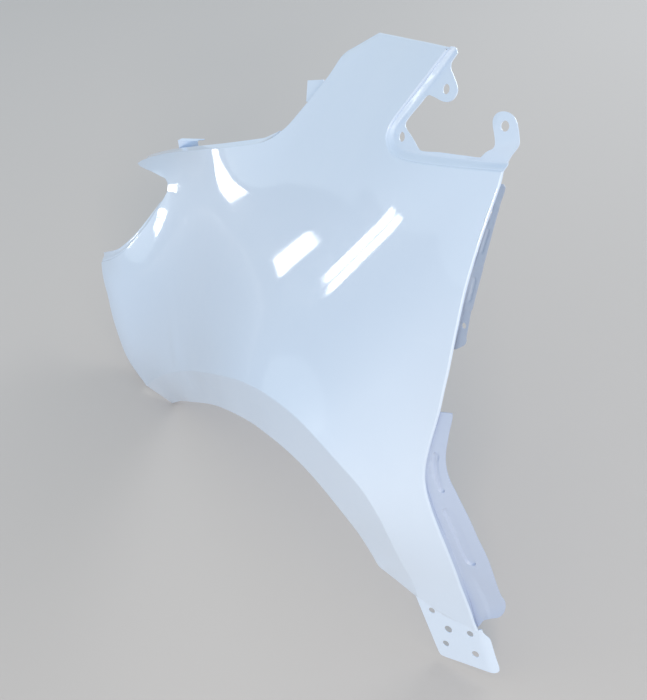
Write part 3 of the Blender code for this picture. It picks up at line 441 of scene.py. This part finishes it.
def smooth_path(points, step):
    """Curve through the points, cut into steps of nearly one length"""
    p = np.array(points, float)
    knots = np.concatenate([[0.0], np.cumsum(np.linalg.norm(np.diff(p, axis=0), axis=1) ** 0.5)])
    ends = np.vstack([2 * p[0] - p[1], p, 2 * p[-1] - p[-2]])
    t = np.concatenate([[knots[0] - (knots[1] - knots[0])], knots,
                        [knots[-1] + (knots[-1] - knots[-2])]])
    fine = []
    for k in range(1, len(ends) - 2):
        for u in np.linspace(t[k], t[k + 1], CURVE_CUTS, endpoint=False):
            a1 = ((t[k] - u) * ends[k - 1] + (u - t[k - 1]) * ends[k]) / (t[k] - t[k - 1])
            a2 = ((t[k + 1] - u) * ends[k] + (u - t[k]) * ends[k + 1]) / (t[k + 1] - t[k])
            a3 = ((t[k + 2] - u) * ends[k + 1] + (u - t[k + 1]) * ends[k + 2])
            a3 = a3 / (t[k + 2] - t[k + 1])
            b1 = ((t[k + 1] - u) * a1 + (u - t[k - 1]) * a2) / (t[k + 1] - t[k - 1])
            b2 = ((t[k + 2] - u) * a2 + (u - t[k]) * a3) / (t[k + 2] - t[k])
            fine.append(((t[k + 1] - u) * b1 + (u - t[k]) * b2) / (t[k + 1] - t[k]))
    fine.append(p[-1])
    fine = np.array(fine)
    run = np.concatenate([[0.0], np.cumsum(np.linalg.norm(np.diff(fine, axis=0), axis=1))])
    count = max(2, int(round(run[-1] / step)) + 1)
    even = np.linspace(0.0, run[-1], count)
    return np.stack([np.interp(even, run, fine[:, k]) for k in range(fine.shape[1])], 1)


def outward(path):
    """Outward side normals of a path that keeps the skin on its left"""
    d = np.gradient(path, axis=0)
    d = d / np.linalg.norm(d, axis=1)[:, None]
    return np.stack([d[:, 1], -d[:, 0]], 1)


def inside(loop, x, z):
    """Even and odd test of points against a closed loop"""
    result = np.zeros(len(x), bool)
    for (x0, z0), (x1, z1) in zip(loop, np.roll(loop, -1, axis=0)):
        if z0 == z1:
            continue
        cross = (z0 > z) != (z1 > z)
        result ^= cross & (x < (x1 - x0) * (z - z0) / (z1 - z0) + x0)
    return result


def ring(hole):
    """Closed ring of a round or oval hole"""
    turn = np.arange(HOLE_SIDES) * 2.0 * math.pi / HOLE_SIDES
    return np.stack([hole[0] + hole[2] * np.cos(turn), hole[1] + hole[3] * np.sin(turn)], 1)


def stadium(line, radius, step):
    """Closed border at one distance round a line"""
    path = smooth_path(line, step)
    side = outward(path) * radius
    turn = np.linspace(0.0, math.pi, CAP_CUTS)[1:-1]
    d = path[-1] - path[-2]
    heading = math.atan2(d[1], d[0])
    cap = [path[-1] + radius * np.array((math.cos(heading - math.pi / 2 + t),
                                         math.sin(heading - math.pi / 2 + t))) for t in turn]
    d = path[0] - path[1]
    heading = math.atan2(d[1], d[0])
    foot = [path[0] + radius * np.array((math.cos(heading - math.pi / 2 + t),
                                         math.sin(heading - math.pi / 2 + t))) for t in turn]
    return np.vstack([path + side, cap, (path - side)[::-1], foot])


def recess_rings(pressings):
    """Foot, middle and brim of each recess's ramp"""
    return [stadium(line, half - ramp, RIM_STEP) for half, line in pressings
            for ramp in (PRESSING_RAMP, PRESSING_RAMP * 0.5, 0.0)]


def fill_patch(mesh, loop, inset, cell, holes=(), rings=(), lines=()):
    """Fill a closed side view loop with an even net laid on an inset surface"""
    borders = [loop] + [ring(h) for h in holes] + list(rings)
    low = loop.min(0)
    high = loop.max(0)
    grid = []
    for k, z in enumerate(np.arange(low[1], high[1], cell * 0.866)):
        for x in np.arange(low[0] + (k % 2) * cell / 2, high[0], cell):
            grid.append((x, z))
    grid = np.array(grid).reshape(-1, 2)
    keep = inside(loop, grid[:, 0], grid[:, 1])
    for border in borders:
        closed = np.vstack([border, border[:1]])
        keep &= distance_to(closed, grid[:, 0], grid[:, 1])[0] > cell * 0.5
    for line in lines:
        keep &= distance_to(line, grid[:, 0], grid[:, 1])[0] > cell * 0.5
    for h in holes:
        keep &= np.hypot(grid[:, 0] - h[0], grid[:, 1] - h[1]) > h[2]
    edges = []
    first = 0
    for border in borders:
        n = len(border)
        edges += [(first + k, first + (k + 1) % n) for k in range(n)]
        first += n
    for line in lines:
        edges += [(first + k, first + k + 1) for k in range(len(line) - 1)]
        first += len(line)
    points = np.vstack(borders + list(lines) + [grid[keep]])
    flat = [(float(px), float(pz)) for px, pz in points]
    out, _, faces, _, _, _ = delaunay_2d_cdt(flat, edges, [], 0, 1e-7)
    side = np.array([(v[0], v[1]) for v in out])
    depth = inset(side[:, 0], side[:, 1])
    mid = np.array([side[list(f)].mean(0) for f in faces])
    good = inside(loop, mid[:, 0], mid[:, 1])
    for h in holes:
        good &= ~inside(ring(h), mid[:, 0], mid[:, 1])
    verts = {}
    for face, ok in zip(faces, good):
        if ok:
            for k in face:
                if k not in verts:
                    verts[k] = mesh.verts.new((side[k, 0], depth[k], side[k, 1]))
            mesh.faces.new([verts[k] for k in face])


def lay_rows(mesh, rows):
    """Join rows of points with four sided faces"""
    made = [[mesh.verts.new(tuple(p)) for p in row] for row in rows]
    for low, high in zip(made[:-1], made[1:]):
        for k in range(len(low) - 1):
            mesh.faces.new((low[k], low[k + 1], high[k + 1], high[k]))


def raised(path, inset, depth=0.0):
    """Points of a side view path laid on an inset surface"""
    return np.stack([path[:, 0], inset(path[:, 0], path[:, 1]) + depth, path[:, 1]], 1)


def resample(points, count):
    """Curve through the points with an exact number of even steps"""
    fine = smooth_path(points, FINE_STEP)
    run = np.concatenate([[0.0], np.cumsum(np.hypot(*np.diff(fine, axis=0).T))])
    even = np.linspace(0.0, run[-1], count)
    return np.stack([np.interp(even, run, fine[:, k]) for k in range(2)], 1)


def step_between(mesh, start, target):
    """Rounded step from one row of points to another"""
    rows = [start]
    for across, down in STEP_PROFILE:
        row = start + (target - start) * across
        row[:, 1] = start[:, 1] + (target[:, 1] - start[:, 1]) * down
        rows.append(row)
    lay_rows(mesh, rows)


def slab(name, corners):
    """Thin flat solid of the sheet's thickness over a ring of corners"""
    ringed = [np.array(c, float) for c in corners]
    normal = np.cross(ringed[1] - ringed[0], ringed[2] - ringed[0])
    normal = normal / np.linalg.norm(normal)
    solid = bmesh.new()
    face = solid.faces.new([solid.verts.new(tuple(c)) for c in ringed])
    grown = bmesh.ops.extrude_face_region(solid, geom=[face])
    tops = [g for g in grown["geom"] if isinstance(g, bmesh.types.BMVert)]
    bmesh.ops.translate(solid, verts=tops, vec=tuple(normal * SHEET))
    bmesh.ops.recalc_face_normals(solid, faces=solid.faces)
    data = bpy.data.meshes.new(name)
    solid.to_mesh(data)
    solid.free()
    made = bpy.data.objects.new(name, data)
    bpy.context.scene.collection.objects.link(made)
    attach(made, "root")
    return made


def fair_terms(x, z):
    """Polynomial terms of the smooth fit at points"""
    along = (x - FAIR_CENTRE[0]) / FAIR_HALF[0]
    up = (z - FAIR_CENTRE[1]) / FAIR_HALF[1]
    return np.stack([along ** i * up ** j for i in range(FAIR_DEGREE + 1)
                     for j in range(FAIR_DEGREE + 1 - i)], 1)


def slopes(surface, x, z):
    """Slopes of a surface at points, along x and along z"""
    along = surface(x + SLOPE_REACH, z) - surface(x - SLOPE_REACH, z)
    up = surface(x, z + SLOPE_REACH) - surface(x, z - SLOPE_REACH)
    return np.stack([along, up]) / (2.0 * SLOPE_REACH)


sheet = bmesh.new()

# Skin, its border run anticlockwise in side view from the bumper corner
bumper = smooth_path(BUMPER_EDGE, EDGE_STEP)
crease = smooth_path(ARCH_CREASE, EDGE_STEP)
joggle = smooth_path(JOGGLE_LINE, EDGE_STEP)
door_low = smooth_path(DOOR_LOW, EDGE_STEP)
door_middle = smooth_path(DOOR_MIDDLE, EDGE_STEP)
door_high = smooth_path(DOOR_HIGH, EDGE_STEP)
door_top = smooth_path(DOOR_TOP, EDGE_STEP)
notch = smooth_path(NOTCH_EDGE, NOTCH_STEP)
horn_end = smooth_path(HORN_END, EDGE_STEP)
horn = smooth_path(HORN_EDGE, EDGE_STEP)
hood = smooth_path(HOOD_EDGE, EDGE_STEP)
tip = smooth_path(TIP_EDGE, NOSE_STEP)
lamp = smooth_path(LAMP_EDGE, NOSE_STEP)
free_border = (door_low, door_middle, door_high, door_top, notch, horn_end, horn, hood, tip,
               lamp, bumper)
border = np.vstack([path[:-1] for path in free_border] + [bumper[-1:]])
fade = np.minimum(np.arange(len(border)), np.arange(len(border))[::-1]) / 3.0
normal = outward(border)
border = border - normal * (EDGE_BEND[-1][0] * np.clip(fade, 0.0, 1.0))[:, None]
outline = np.vstack([border[:-1], crease[:-1], joggle[:-1]])
ridge_line = smooth_path(RIDGE[1:-1], EDGE_STEP)
fill_patch(sheet, outline, skin_inset, CELL, lines=[ridge_line])

# Rounded bend round the whole free border of the skin
bend = [raised(border, skin_inset)]
for out, depth in EDGE_BEND:
    row = raised(border, skin_inset)
    row[:, 0] += normal[:, 0] * out
    row[:, 2] += normal[:, 1] * out
    row[:, 1] += depth
    bend.append(row)
lay_rows(sheet, bend)
starts = np.cumsum([0] + [len(path) - 1 for path in free_border])
rows = [bend[-1][a:b + 1] for a, b in zip(starts[:-1], starts[1:])]
low_row, high_row, notch_row, horn_row, hood_row = rows[0], rows[2], rows[4], rows[6], rows[7]
tip_row, lamp_row, bumper_row = rows[8:]

# Flat band between the crease and the wheel arch edge, with its inner lip
crease_row = raised(crease, skin_inset)
edge_row = smooth_path(ARCH_EDGE, FINE_STEP)
pick = np.linspace(0, len(edge_row) - 1, len(crease_row)).round().astype(int)
edge_row = edge_row[pick]
band = [crease_row + (edge_row - crease_row) * share for share in BAND_ROWS]
across = edge_row - crease_row
across = across / np.linalg.norm(across, axis=1)[:, None]
for inward, drop in ARCH_LIP:
    turned = np.array((0.0, inward, 0.0))
    band.append(edge_row + turned + across * (ARCH_LIP_REACH - drop))
lay_rows(sheet, band)

# Plain walls behind the edges that carry no visible flange
for row, path in ((bumper_row, bumper), (tip_row, tip), (horn_row, horn)):
    normal = outward(path)
    rows = [row]
    for out, depth in EDGE_WALL:
        wall = row.copy()
        wall[:, 0] += normal[:, 0] * (out - EDGE_BEND[-1][0])
        wall[:, 2] += normal[:, 1] * (out - EDGE_BEND[-1][0])
        wall[:, 1] += depth - EDGE_BEND[-1][1]
        rows.append(wall)
    lay_rows(sheet, [r[1:-1] for r in rows])

# Recess, tabs and gusset round the notch
floor_line = resample(CHANNEL_LINE, len(notch))
step_between(sheet, notch_row, raised(floor_line, channel_inset))
free_edge = np.vstack([smooth_path(FRONT_TAB, TAB_STEP)[:-1],
                       smooth_path(GUSSET_EDGE, RIM_STEP)[:-1],
                       smooth_path(REAR_TAB, TAB_STEP)])
fill_patch(sheet, np.vstack([floor_line, free_edge]), channel_inset, CHANNEL_CELL,
           holes=TAB_HOLES)

# Return flanges of the door edge, which take paints of their own, darker than the panel's as
# painted shade
high_start = len(sheet.faces)
root = resample(HIGH_FLANGE_ROOT, len(door_high))
step_between(sheet, high_row, raised(root, high_flange_inset))
free_edge = smooth_path(HIGH_FLANGE, RIM_STEP)
fill_patch(sheet, np.vstack([root, free_edge]), high_flange_inset, HIGH_FLANGE_CELL,
           holes=[HIGH_FLANGE_HOLE], rings=recess_rings(HIGH_PRESSINGS))
low_start = len(sheet.faces)
root = resample(LOW_FLANGE_ROOT, len(door_low))
step_between(sheet, low_row, raised(root, low_flange_inset))
free_edge = smooth_path(LOW_FLANGE, RIM_STEP)
fill_patch(sheet, np.vstack([root, free_edge]), low_flange_inset, LOW_FLANGE_CELL,
           rings=recess_rings(LOW_PRESSINGS))
low_end = len(sheet.faces)
sheet.faces.ensure_lookup_table()
# Upper flange takes the darker painted-shade paint, the lower flange the lighter one
for face in sheet.faces[high_start:low_start]:
    face.material_index = 2
for face in sheet.faces[low_start:low_end]:
    face.material_index = 1

# Lower plate, joggled down from the skin
below = joggle + np.array(JOGGLE_SHIFT)
lay_rows(sheet, [raised(joggle, skin_inset), raised(below, plate_inset)])
below = np.vstack([[JOGGLE_START], below])
free_edge = smooth_path(PLATE_OUTLINE, RIM_STEP)
fill_patch(sheet, np.vstack([below, free_edge]), plate_inset, PLATE_CELL, holes=PLATE_HOLES)

# Shelf and inner flange of the hood line, and the lip of the lamp cut out
shelf = resample(HOOD_SHELF, len(hood))
shelf_row = raised(shelf, skin_inset, HOOD_SHELF_DEPTH)
turned = shelf_row + np.array((0.0, HOOD_FLANGE_DEPTH - HOOD_SHELF_DEPTH, -HOOD_FLANGE_DROP))
lay_rows(sheet, [hood_row, shelf_row, turned])
lip = resample(LAMP_LIP, len(lamp))
lip_row = raised(lip, skin_inset, LAMP_LIP_DEPTH)
step_between(sheet, lamp_row, lip_row)
lay_rows(sheet, [lip_row, lip_row + np.array((0.0, LAMP_LIP_WALL, 0.0))])

# Seams closed, the mount point at the origin and the sheet stretched to its overall size
bmesh.ops.remove_doubles(sheet, verts=sheet.verts, dist=MERGE_GAP)
points = np.array([v.co for v in sheet.verts])
stretch = np.array((PANEL_LENGTH, PANEL_DEPTH, PANEL_HEIGHT)) / np.ptp(points, axis=0)
mount_x, mount_z = MOUNT_POINT
tilt = math.sqrt(1.0 + PLATE_SLOPE_X ** 2 + PLATE_SLOPE_Z ** 2)
mount_y = float(plate_inset(mount_x, mount_z)[0]) + SHEET * tilt
origin = np.array((mount_x, mount_y, mount_z))
bmesh.ops.translate(sheet, verts=sheet.verts, vec=tuple(-origin))
bmesh.ops.scale(sheet, verts=sheet.verts, vec=tuple(stretch))
bmesh.ops.recalc_face_normals(sheet, faces=sheet.faces)
sheet.normal_update()
facing = sum(face.normal.y * face.calc_area() for face in sheet.faces)
if facing > 0:
    bmesh.ops.reverse_faces(sheet, faces=sheet.faces)
for face in sheet.faces:
    face.smooth = True

panel_mesh = bpy.data.meshes.new("fender_skin")
sheet.to_mesh(panel_mesh)
sheet.free()
panel = bpy.data.objects.new("fender_skin", panel_mesh)
bpy.context.scene.collection.objects.link(panel)

shell = panel.modifiers.new("sheet thickness", "SOLIDIFY")
shell.thickness = SHEET
shell.offset = -1.0
shell.use_rim = True
shell.use_even_offset = False

# Bracket behind the hood line: a standing plate, a shelf and an arm
grow = np.array((PANEL_LENGTH, PANEL_DEPTH, PANEL_HEIGHT)) / DRAWN_SIZE
foot = raised(np.array([BRACKET_ROOT]), skin_inset, BRACKET_INSET)[0] - origin
foot = (foot + np.array((0.0, 0.0, -BRACKET_SUNK))) * grow
wide = np.array((math.cos(BRACKET_TURN), math.sin(BRACKET_TURN), 0.0)) * BRACKET_WIDTH
tall = np.array((0.0, 0.0, BRACKET_HEIGHT + BRACKET_SUNK))
away = np.array(BRACKET_AWAY) * BRACKET_SHELF
arm = wide * (BRACKET_ARM / BRACKET_WIDTH)
top = foot + tall
pieces = [slab("bracket_plate", (foot, foot + wide, top + wide, top))]
pieces.append(slab("bracket_shelf", (top - away * 0.1, top + wide - away * 0.1,
                                     top + wide + away * 0.45, top + wide + arm + away * 0.5,
                                     top + wide + arm + away, top + away)))
corners = (raised(np.array(HORN_TAB), skin_inset, HORN_TAB_DEPTH) - origin) * grow
pieces.append(slab("horn_tab", corners))

# Thickness made real, so that sharp rims and smooth panels can be told apart
graph = bpy.context.evaluated_depsgraph_get()
solid_mesh = bpy.data.meshes.new_from_object(panel.evaluated_get(graph))
panel.modifiers.clear()
panel.data = solid_mesh
solid_mesh.set_sharp_from_angle(angle=SHARP_ANGLE)
for polygon in solid_mesh.polygons:
    polygon.use_smooth = True
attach(panel, "root")
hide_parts("fender_panel")

# Fair normals of the outer skin: slopes of a smooth fit, turning into its own at the border
coords = np.array([v.co for v in solid_mesh.vertices]) / stretch + origin
on_skin = np.abs(coords[:, 1] - skin_inset(coords[:, 0], coords[:, 2])) < SKIN_GAP
skin_x, skin_y, skin_z = coords[on_skin].T
fit = np.linalg.lstsq(fair_terms(skin_x, skin_z), skin_y, rcond=None)[0]
own_slopes = slopes(skin_inset, skin_x, skin_z)
fair_slopes = slopes(lambda x, z: fair_terms(x, z) @ fit, skin_x, skin_z)
ring_path = np.vstack([outline[::4], outline[:1]])
share = np.clip(distance_to(ring_path, skin_x, skin_z)[0] / FAIR_BORDER, 0.0, 1.0)
share = FAIR_SHARE * share * share * (3.0 - 2.0 * share)
blended = own_slopes + (fair_slopes - own_slopes) * share
facing_out = np.stack([blended[0], -np.ones(len(skin_x)), blended[1]], 1) / stretch
fair = np.zeros((len(coords), 3))
fair[on_skin] = facing_out / np.linalg.norm(facing_out, axis=1)[:, None]
corner_vertex = np.empty(len(solid_mesh.loops), dtype=np.int32)
solid_mesh.loops.foreach_get("vertex_index", corner_vertex)
corner_face = np.repeat(np.arange(len(solid_mesh.polygons)),
                        [polygon.loop_total for polygon in solid_mesh.polygons])
face_normal = np.array([polygon.normal for polygon in solid_mesh.polygons])
agree = (fair[corner_vertex] * face_normal[corner_face]).sum(1) > FAIR_AGREES
corner_normal = np.where(agree[:, None], fair[corner_vertex], 0.0)
solid_mesh.normals_split_custom_set([tuple(n) for n in corner_normal])


def node(tree, kind, place, **values):
    """Add a shader node and set its plain values"""
    made = tree.nodes.new(kind)
    made.location = place
    for key, value in values.items():
        if key in made.inputs:
            made.inputs[key].default_value = value
        else:
            setattr(made, key, value)
    return made


def gloss_paint(name, light, shade, coat, low_rough, high_rough):
    """Pale gloss paint with faint orange peel, dust and uneven thickness"""
    made = bpy.data.materials.new(name)
    made.use_nodes = True
    tree = made.node_tree
    shader = tree.nodes["Principled BSDF"]
    shader.inputs["Metallic"].default_value = 0.0
    shader.inputs["Coat Weight"].default_value = coat
    shader.inputs["Coat Roughness"].default_value = 0.035
    shader.inputs["Coat IOR"].default_value = 1.5
    place = node(tree, "ShaderNodeTexCoord", (-1400, 0))
    cloud = node(tree, "ShaderNodeTexNoise", (-1150, 260), Scale=9.0, Detail=4.0)
    tint = node(tree, "ShaderNodeMix", (-700, 260), data_type="RGBA")
    tint.inputs[6].default_value = shade
    tint.inputs[7].default_value = light
    tree.links.new(place.outputs["Object"], cloud.inputs["Vector"])
    tree.links.new(cloud.outputs["Fac"], tint.inputs[0])
    tree.links.new(tint.outputs[2], shader.inputs["Base Color"])
    dust = node(tree, "ShaderNodeTexNoise", (-1150, -60), Scale=55.0, Detail=8.0, Roughness=0.7)
    spread = node(tree, "ShaderNodeMapRange", (-900, -60))
    spread.inputs["From Min"].default_value = 0.35
    spread.inputs["From Max"].default_value = 0.75
    spread.inputs["To Min"].default_value = low_rough
    spread.inputs["To Max"].default_value = high_rough
    tree.links.new(place.outputs["Object"], dust.inputs["Vector"])
    tree.links.new(dust.outputs["Fac"], spread.inputs["Value"])
    tree.links.new(spread.outputs["Result"], shader.inputs["Roughness"])
    peel = node(tree, "ShaderNodeTexNoise", (-1150, -380), Scale=420.0, Detail=2.0)
    fine_bump = node(tree, "ShaderNodeBump", (-700, -380), Strength=0.02, Distance=0.0004)
    tree.links.new(place.outputs["Object"], peel.inputs["Vector"])
    tree.links.new(peel.outputs["Fac"], fine_bump.inputs["Height"])
    tree.links.new(fine_bump.outputs["Normal"], shader.inputs["Normal"])
    tree.links.new(fine_bump.outputs["Normal"], shader.inputs["Coat Normal"])
    return made


paint = gloss_paint("pale_blue_paint", (0.575, 0.690, 0.870, 1.0), (0.550, 0.668, 0.856, 1.0),
                    1.0, 0.30, 0.42)
# Flange paints: the panel's pale blue made darker as painted shade of the flanges recessed behind
# the door edge, the upper one darker still
lower_flange_painted_shade = gloss_paint("lower_flange_painted_shade", (0.420, 0.510, 0.700, 1.0),
                           (0.395, 0.484, 0.675, 1.0), 0.6, 0.34, 0.50)
upper_flange_shade_paint = gloss_paint("upper_flange_painted_shade", (0.310, 0.378, 0.515, 1.0),
                           (0.288, 0.352, 0.484, 1.0), 0.5, 0.38, 0.52)
for piece in [panel] + pieces:
    piece.data.materials.append(paint)
panel.data.materials.append(lower_flange_painted_shade)
panel.data.materials.append(upper_flange_shade_paint)

# Plain pale floor and a soft studio
FLOOR_HALF = 12.0
floor_corners = [(-FLOOR_HALF, -FLOOR_HALF, 0), (FLOOR_HALF, -FLOOR_HALF, 0),
                 (FLOOR_HALF, FLOOR_HALF, 0), (-FLOOR_HALF, FLOOR_HALF, 0)]
floor_mesh = bpy.data.meshes.new("floor")
floor_mesh.from_pydata(floor_corners, [], [(0, 1, 2, 3)])
floor = bpy.data.objects.new("floor", floor_mesh)
floor.location.z = cad_box[0][2]
bpy.context.scene.collection.objects.link(floor)
ground = bpy.data.materials.new("pale_floor")
ground.use_nodes = True
ground_shader = ground.node_tree.nodes["Principled BSDF"]
ground_shader.inputs["Base Color"].default_value = (0.520, 0.495, 0.490, 1.0)
ground_shader.inputs["Roughness"].default_value = 0.90
floor_mesh.materials.append(ground)

world = bpy.data.worlds.new("studio")
bpy.context.scene.world = world
world.use_nodes = True
sky = world.node_tree.nodes["Background"]
sky.inputs["Color"].default_value = (0.86, 0.95, 1.0, 1.0)
sky.inputs["Strength"].default_value = 0.89


def soft_light(name, spot, target, width, height, power, colour):
    """Rectangular studio light aimed at a point"""
    data = bpy.data.lights.new(name, "AREA")
    data.shape = "RECTANGLE"
    data.size = width
    data.size_y = height
    data.energy = power
    data.color = colour
    lamp = bpy.data.objects.new(name, data)
    lamp.location = spot
    aim = Vector(target) - Vector(spot)
    lamp.rotation_euler = aim.to_track_quat("-Z", "Y").to_euler()
    bpy.context.scene.collection.objects.link(lamp)


# Studio lights: a window of two panes, two smaller windows and fills from right and behind
MIDDLE = (-0.45, 0.0, 0.25)
WHITE = (1.0, 1.0, 1.0)
WARM = (1.0, 0.84, 0.66)
WINDOW_SPOT = (-3.3, -0.98, 0.28)
PANE_WIDTH = 0.10
PANE_HEIGHT = 0.18
PANE_OFFSET = 0.064
window_x, window_y, window_z = WINDOW_SPOT
for side in (-1, 1):
    soft_light("window_%d" % (side + 1), (window_x, window_y + side * PANE_OFFSET, window_z),
               MIDDLE, PANE_WIDTH, PANE_HEIGHT, 0.6, WHITE)
soft_light("nose_window", (-3.3, -0.55, 0.13), MIDDLE, 0.10, 0.14, 0.45, WHITE)
soft_light("window_front", (-1.6, -2.5, 0.60), MIDDLE, 0.40, 0.40, 2.5, WHITE)
soft_light("low_fill", (2.4, -1.9, 1.10), (0.0, 0.0, 0.1), 1.4, 0.14, 68.0, WARM)
soft_light("back_fill", (-0.6, 3.2, 2.0), MIDDLE, 2.2, 1.6, 26.0, WHITE)

# Camera at the photo's viewing angle
EYE = (0.356918, -0.425734, 0.857000)
RIGHT = (0.634088, 0.770999, -0.059105)
UP = (-0.448562, 0.429014, 0.784053)
BACK = (0.629861, -0.470646, 0.617873)
camera_data = bpy.data.cameras.new("camera")
camera_data.lens = 43.185
camera_data.sensor_width = 36.0
camera_data.shift_x = -0.0021
camera_data.clip_start = 0.05
camera = bpy.data.objects.new("camera", camera_data)
turn = Matrix((RIGHT, UP, BACK)).transposed()
camera.matrix_world = Matrix.Translation(EYE) @ turn.to_4x4()
bpy.context.scene.collection.objects.link(camera)
bpy.context.scene.camera = camera
bpy.context.scene.view_settings.view_transform = "Standard"
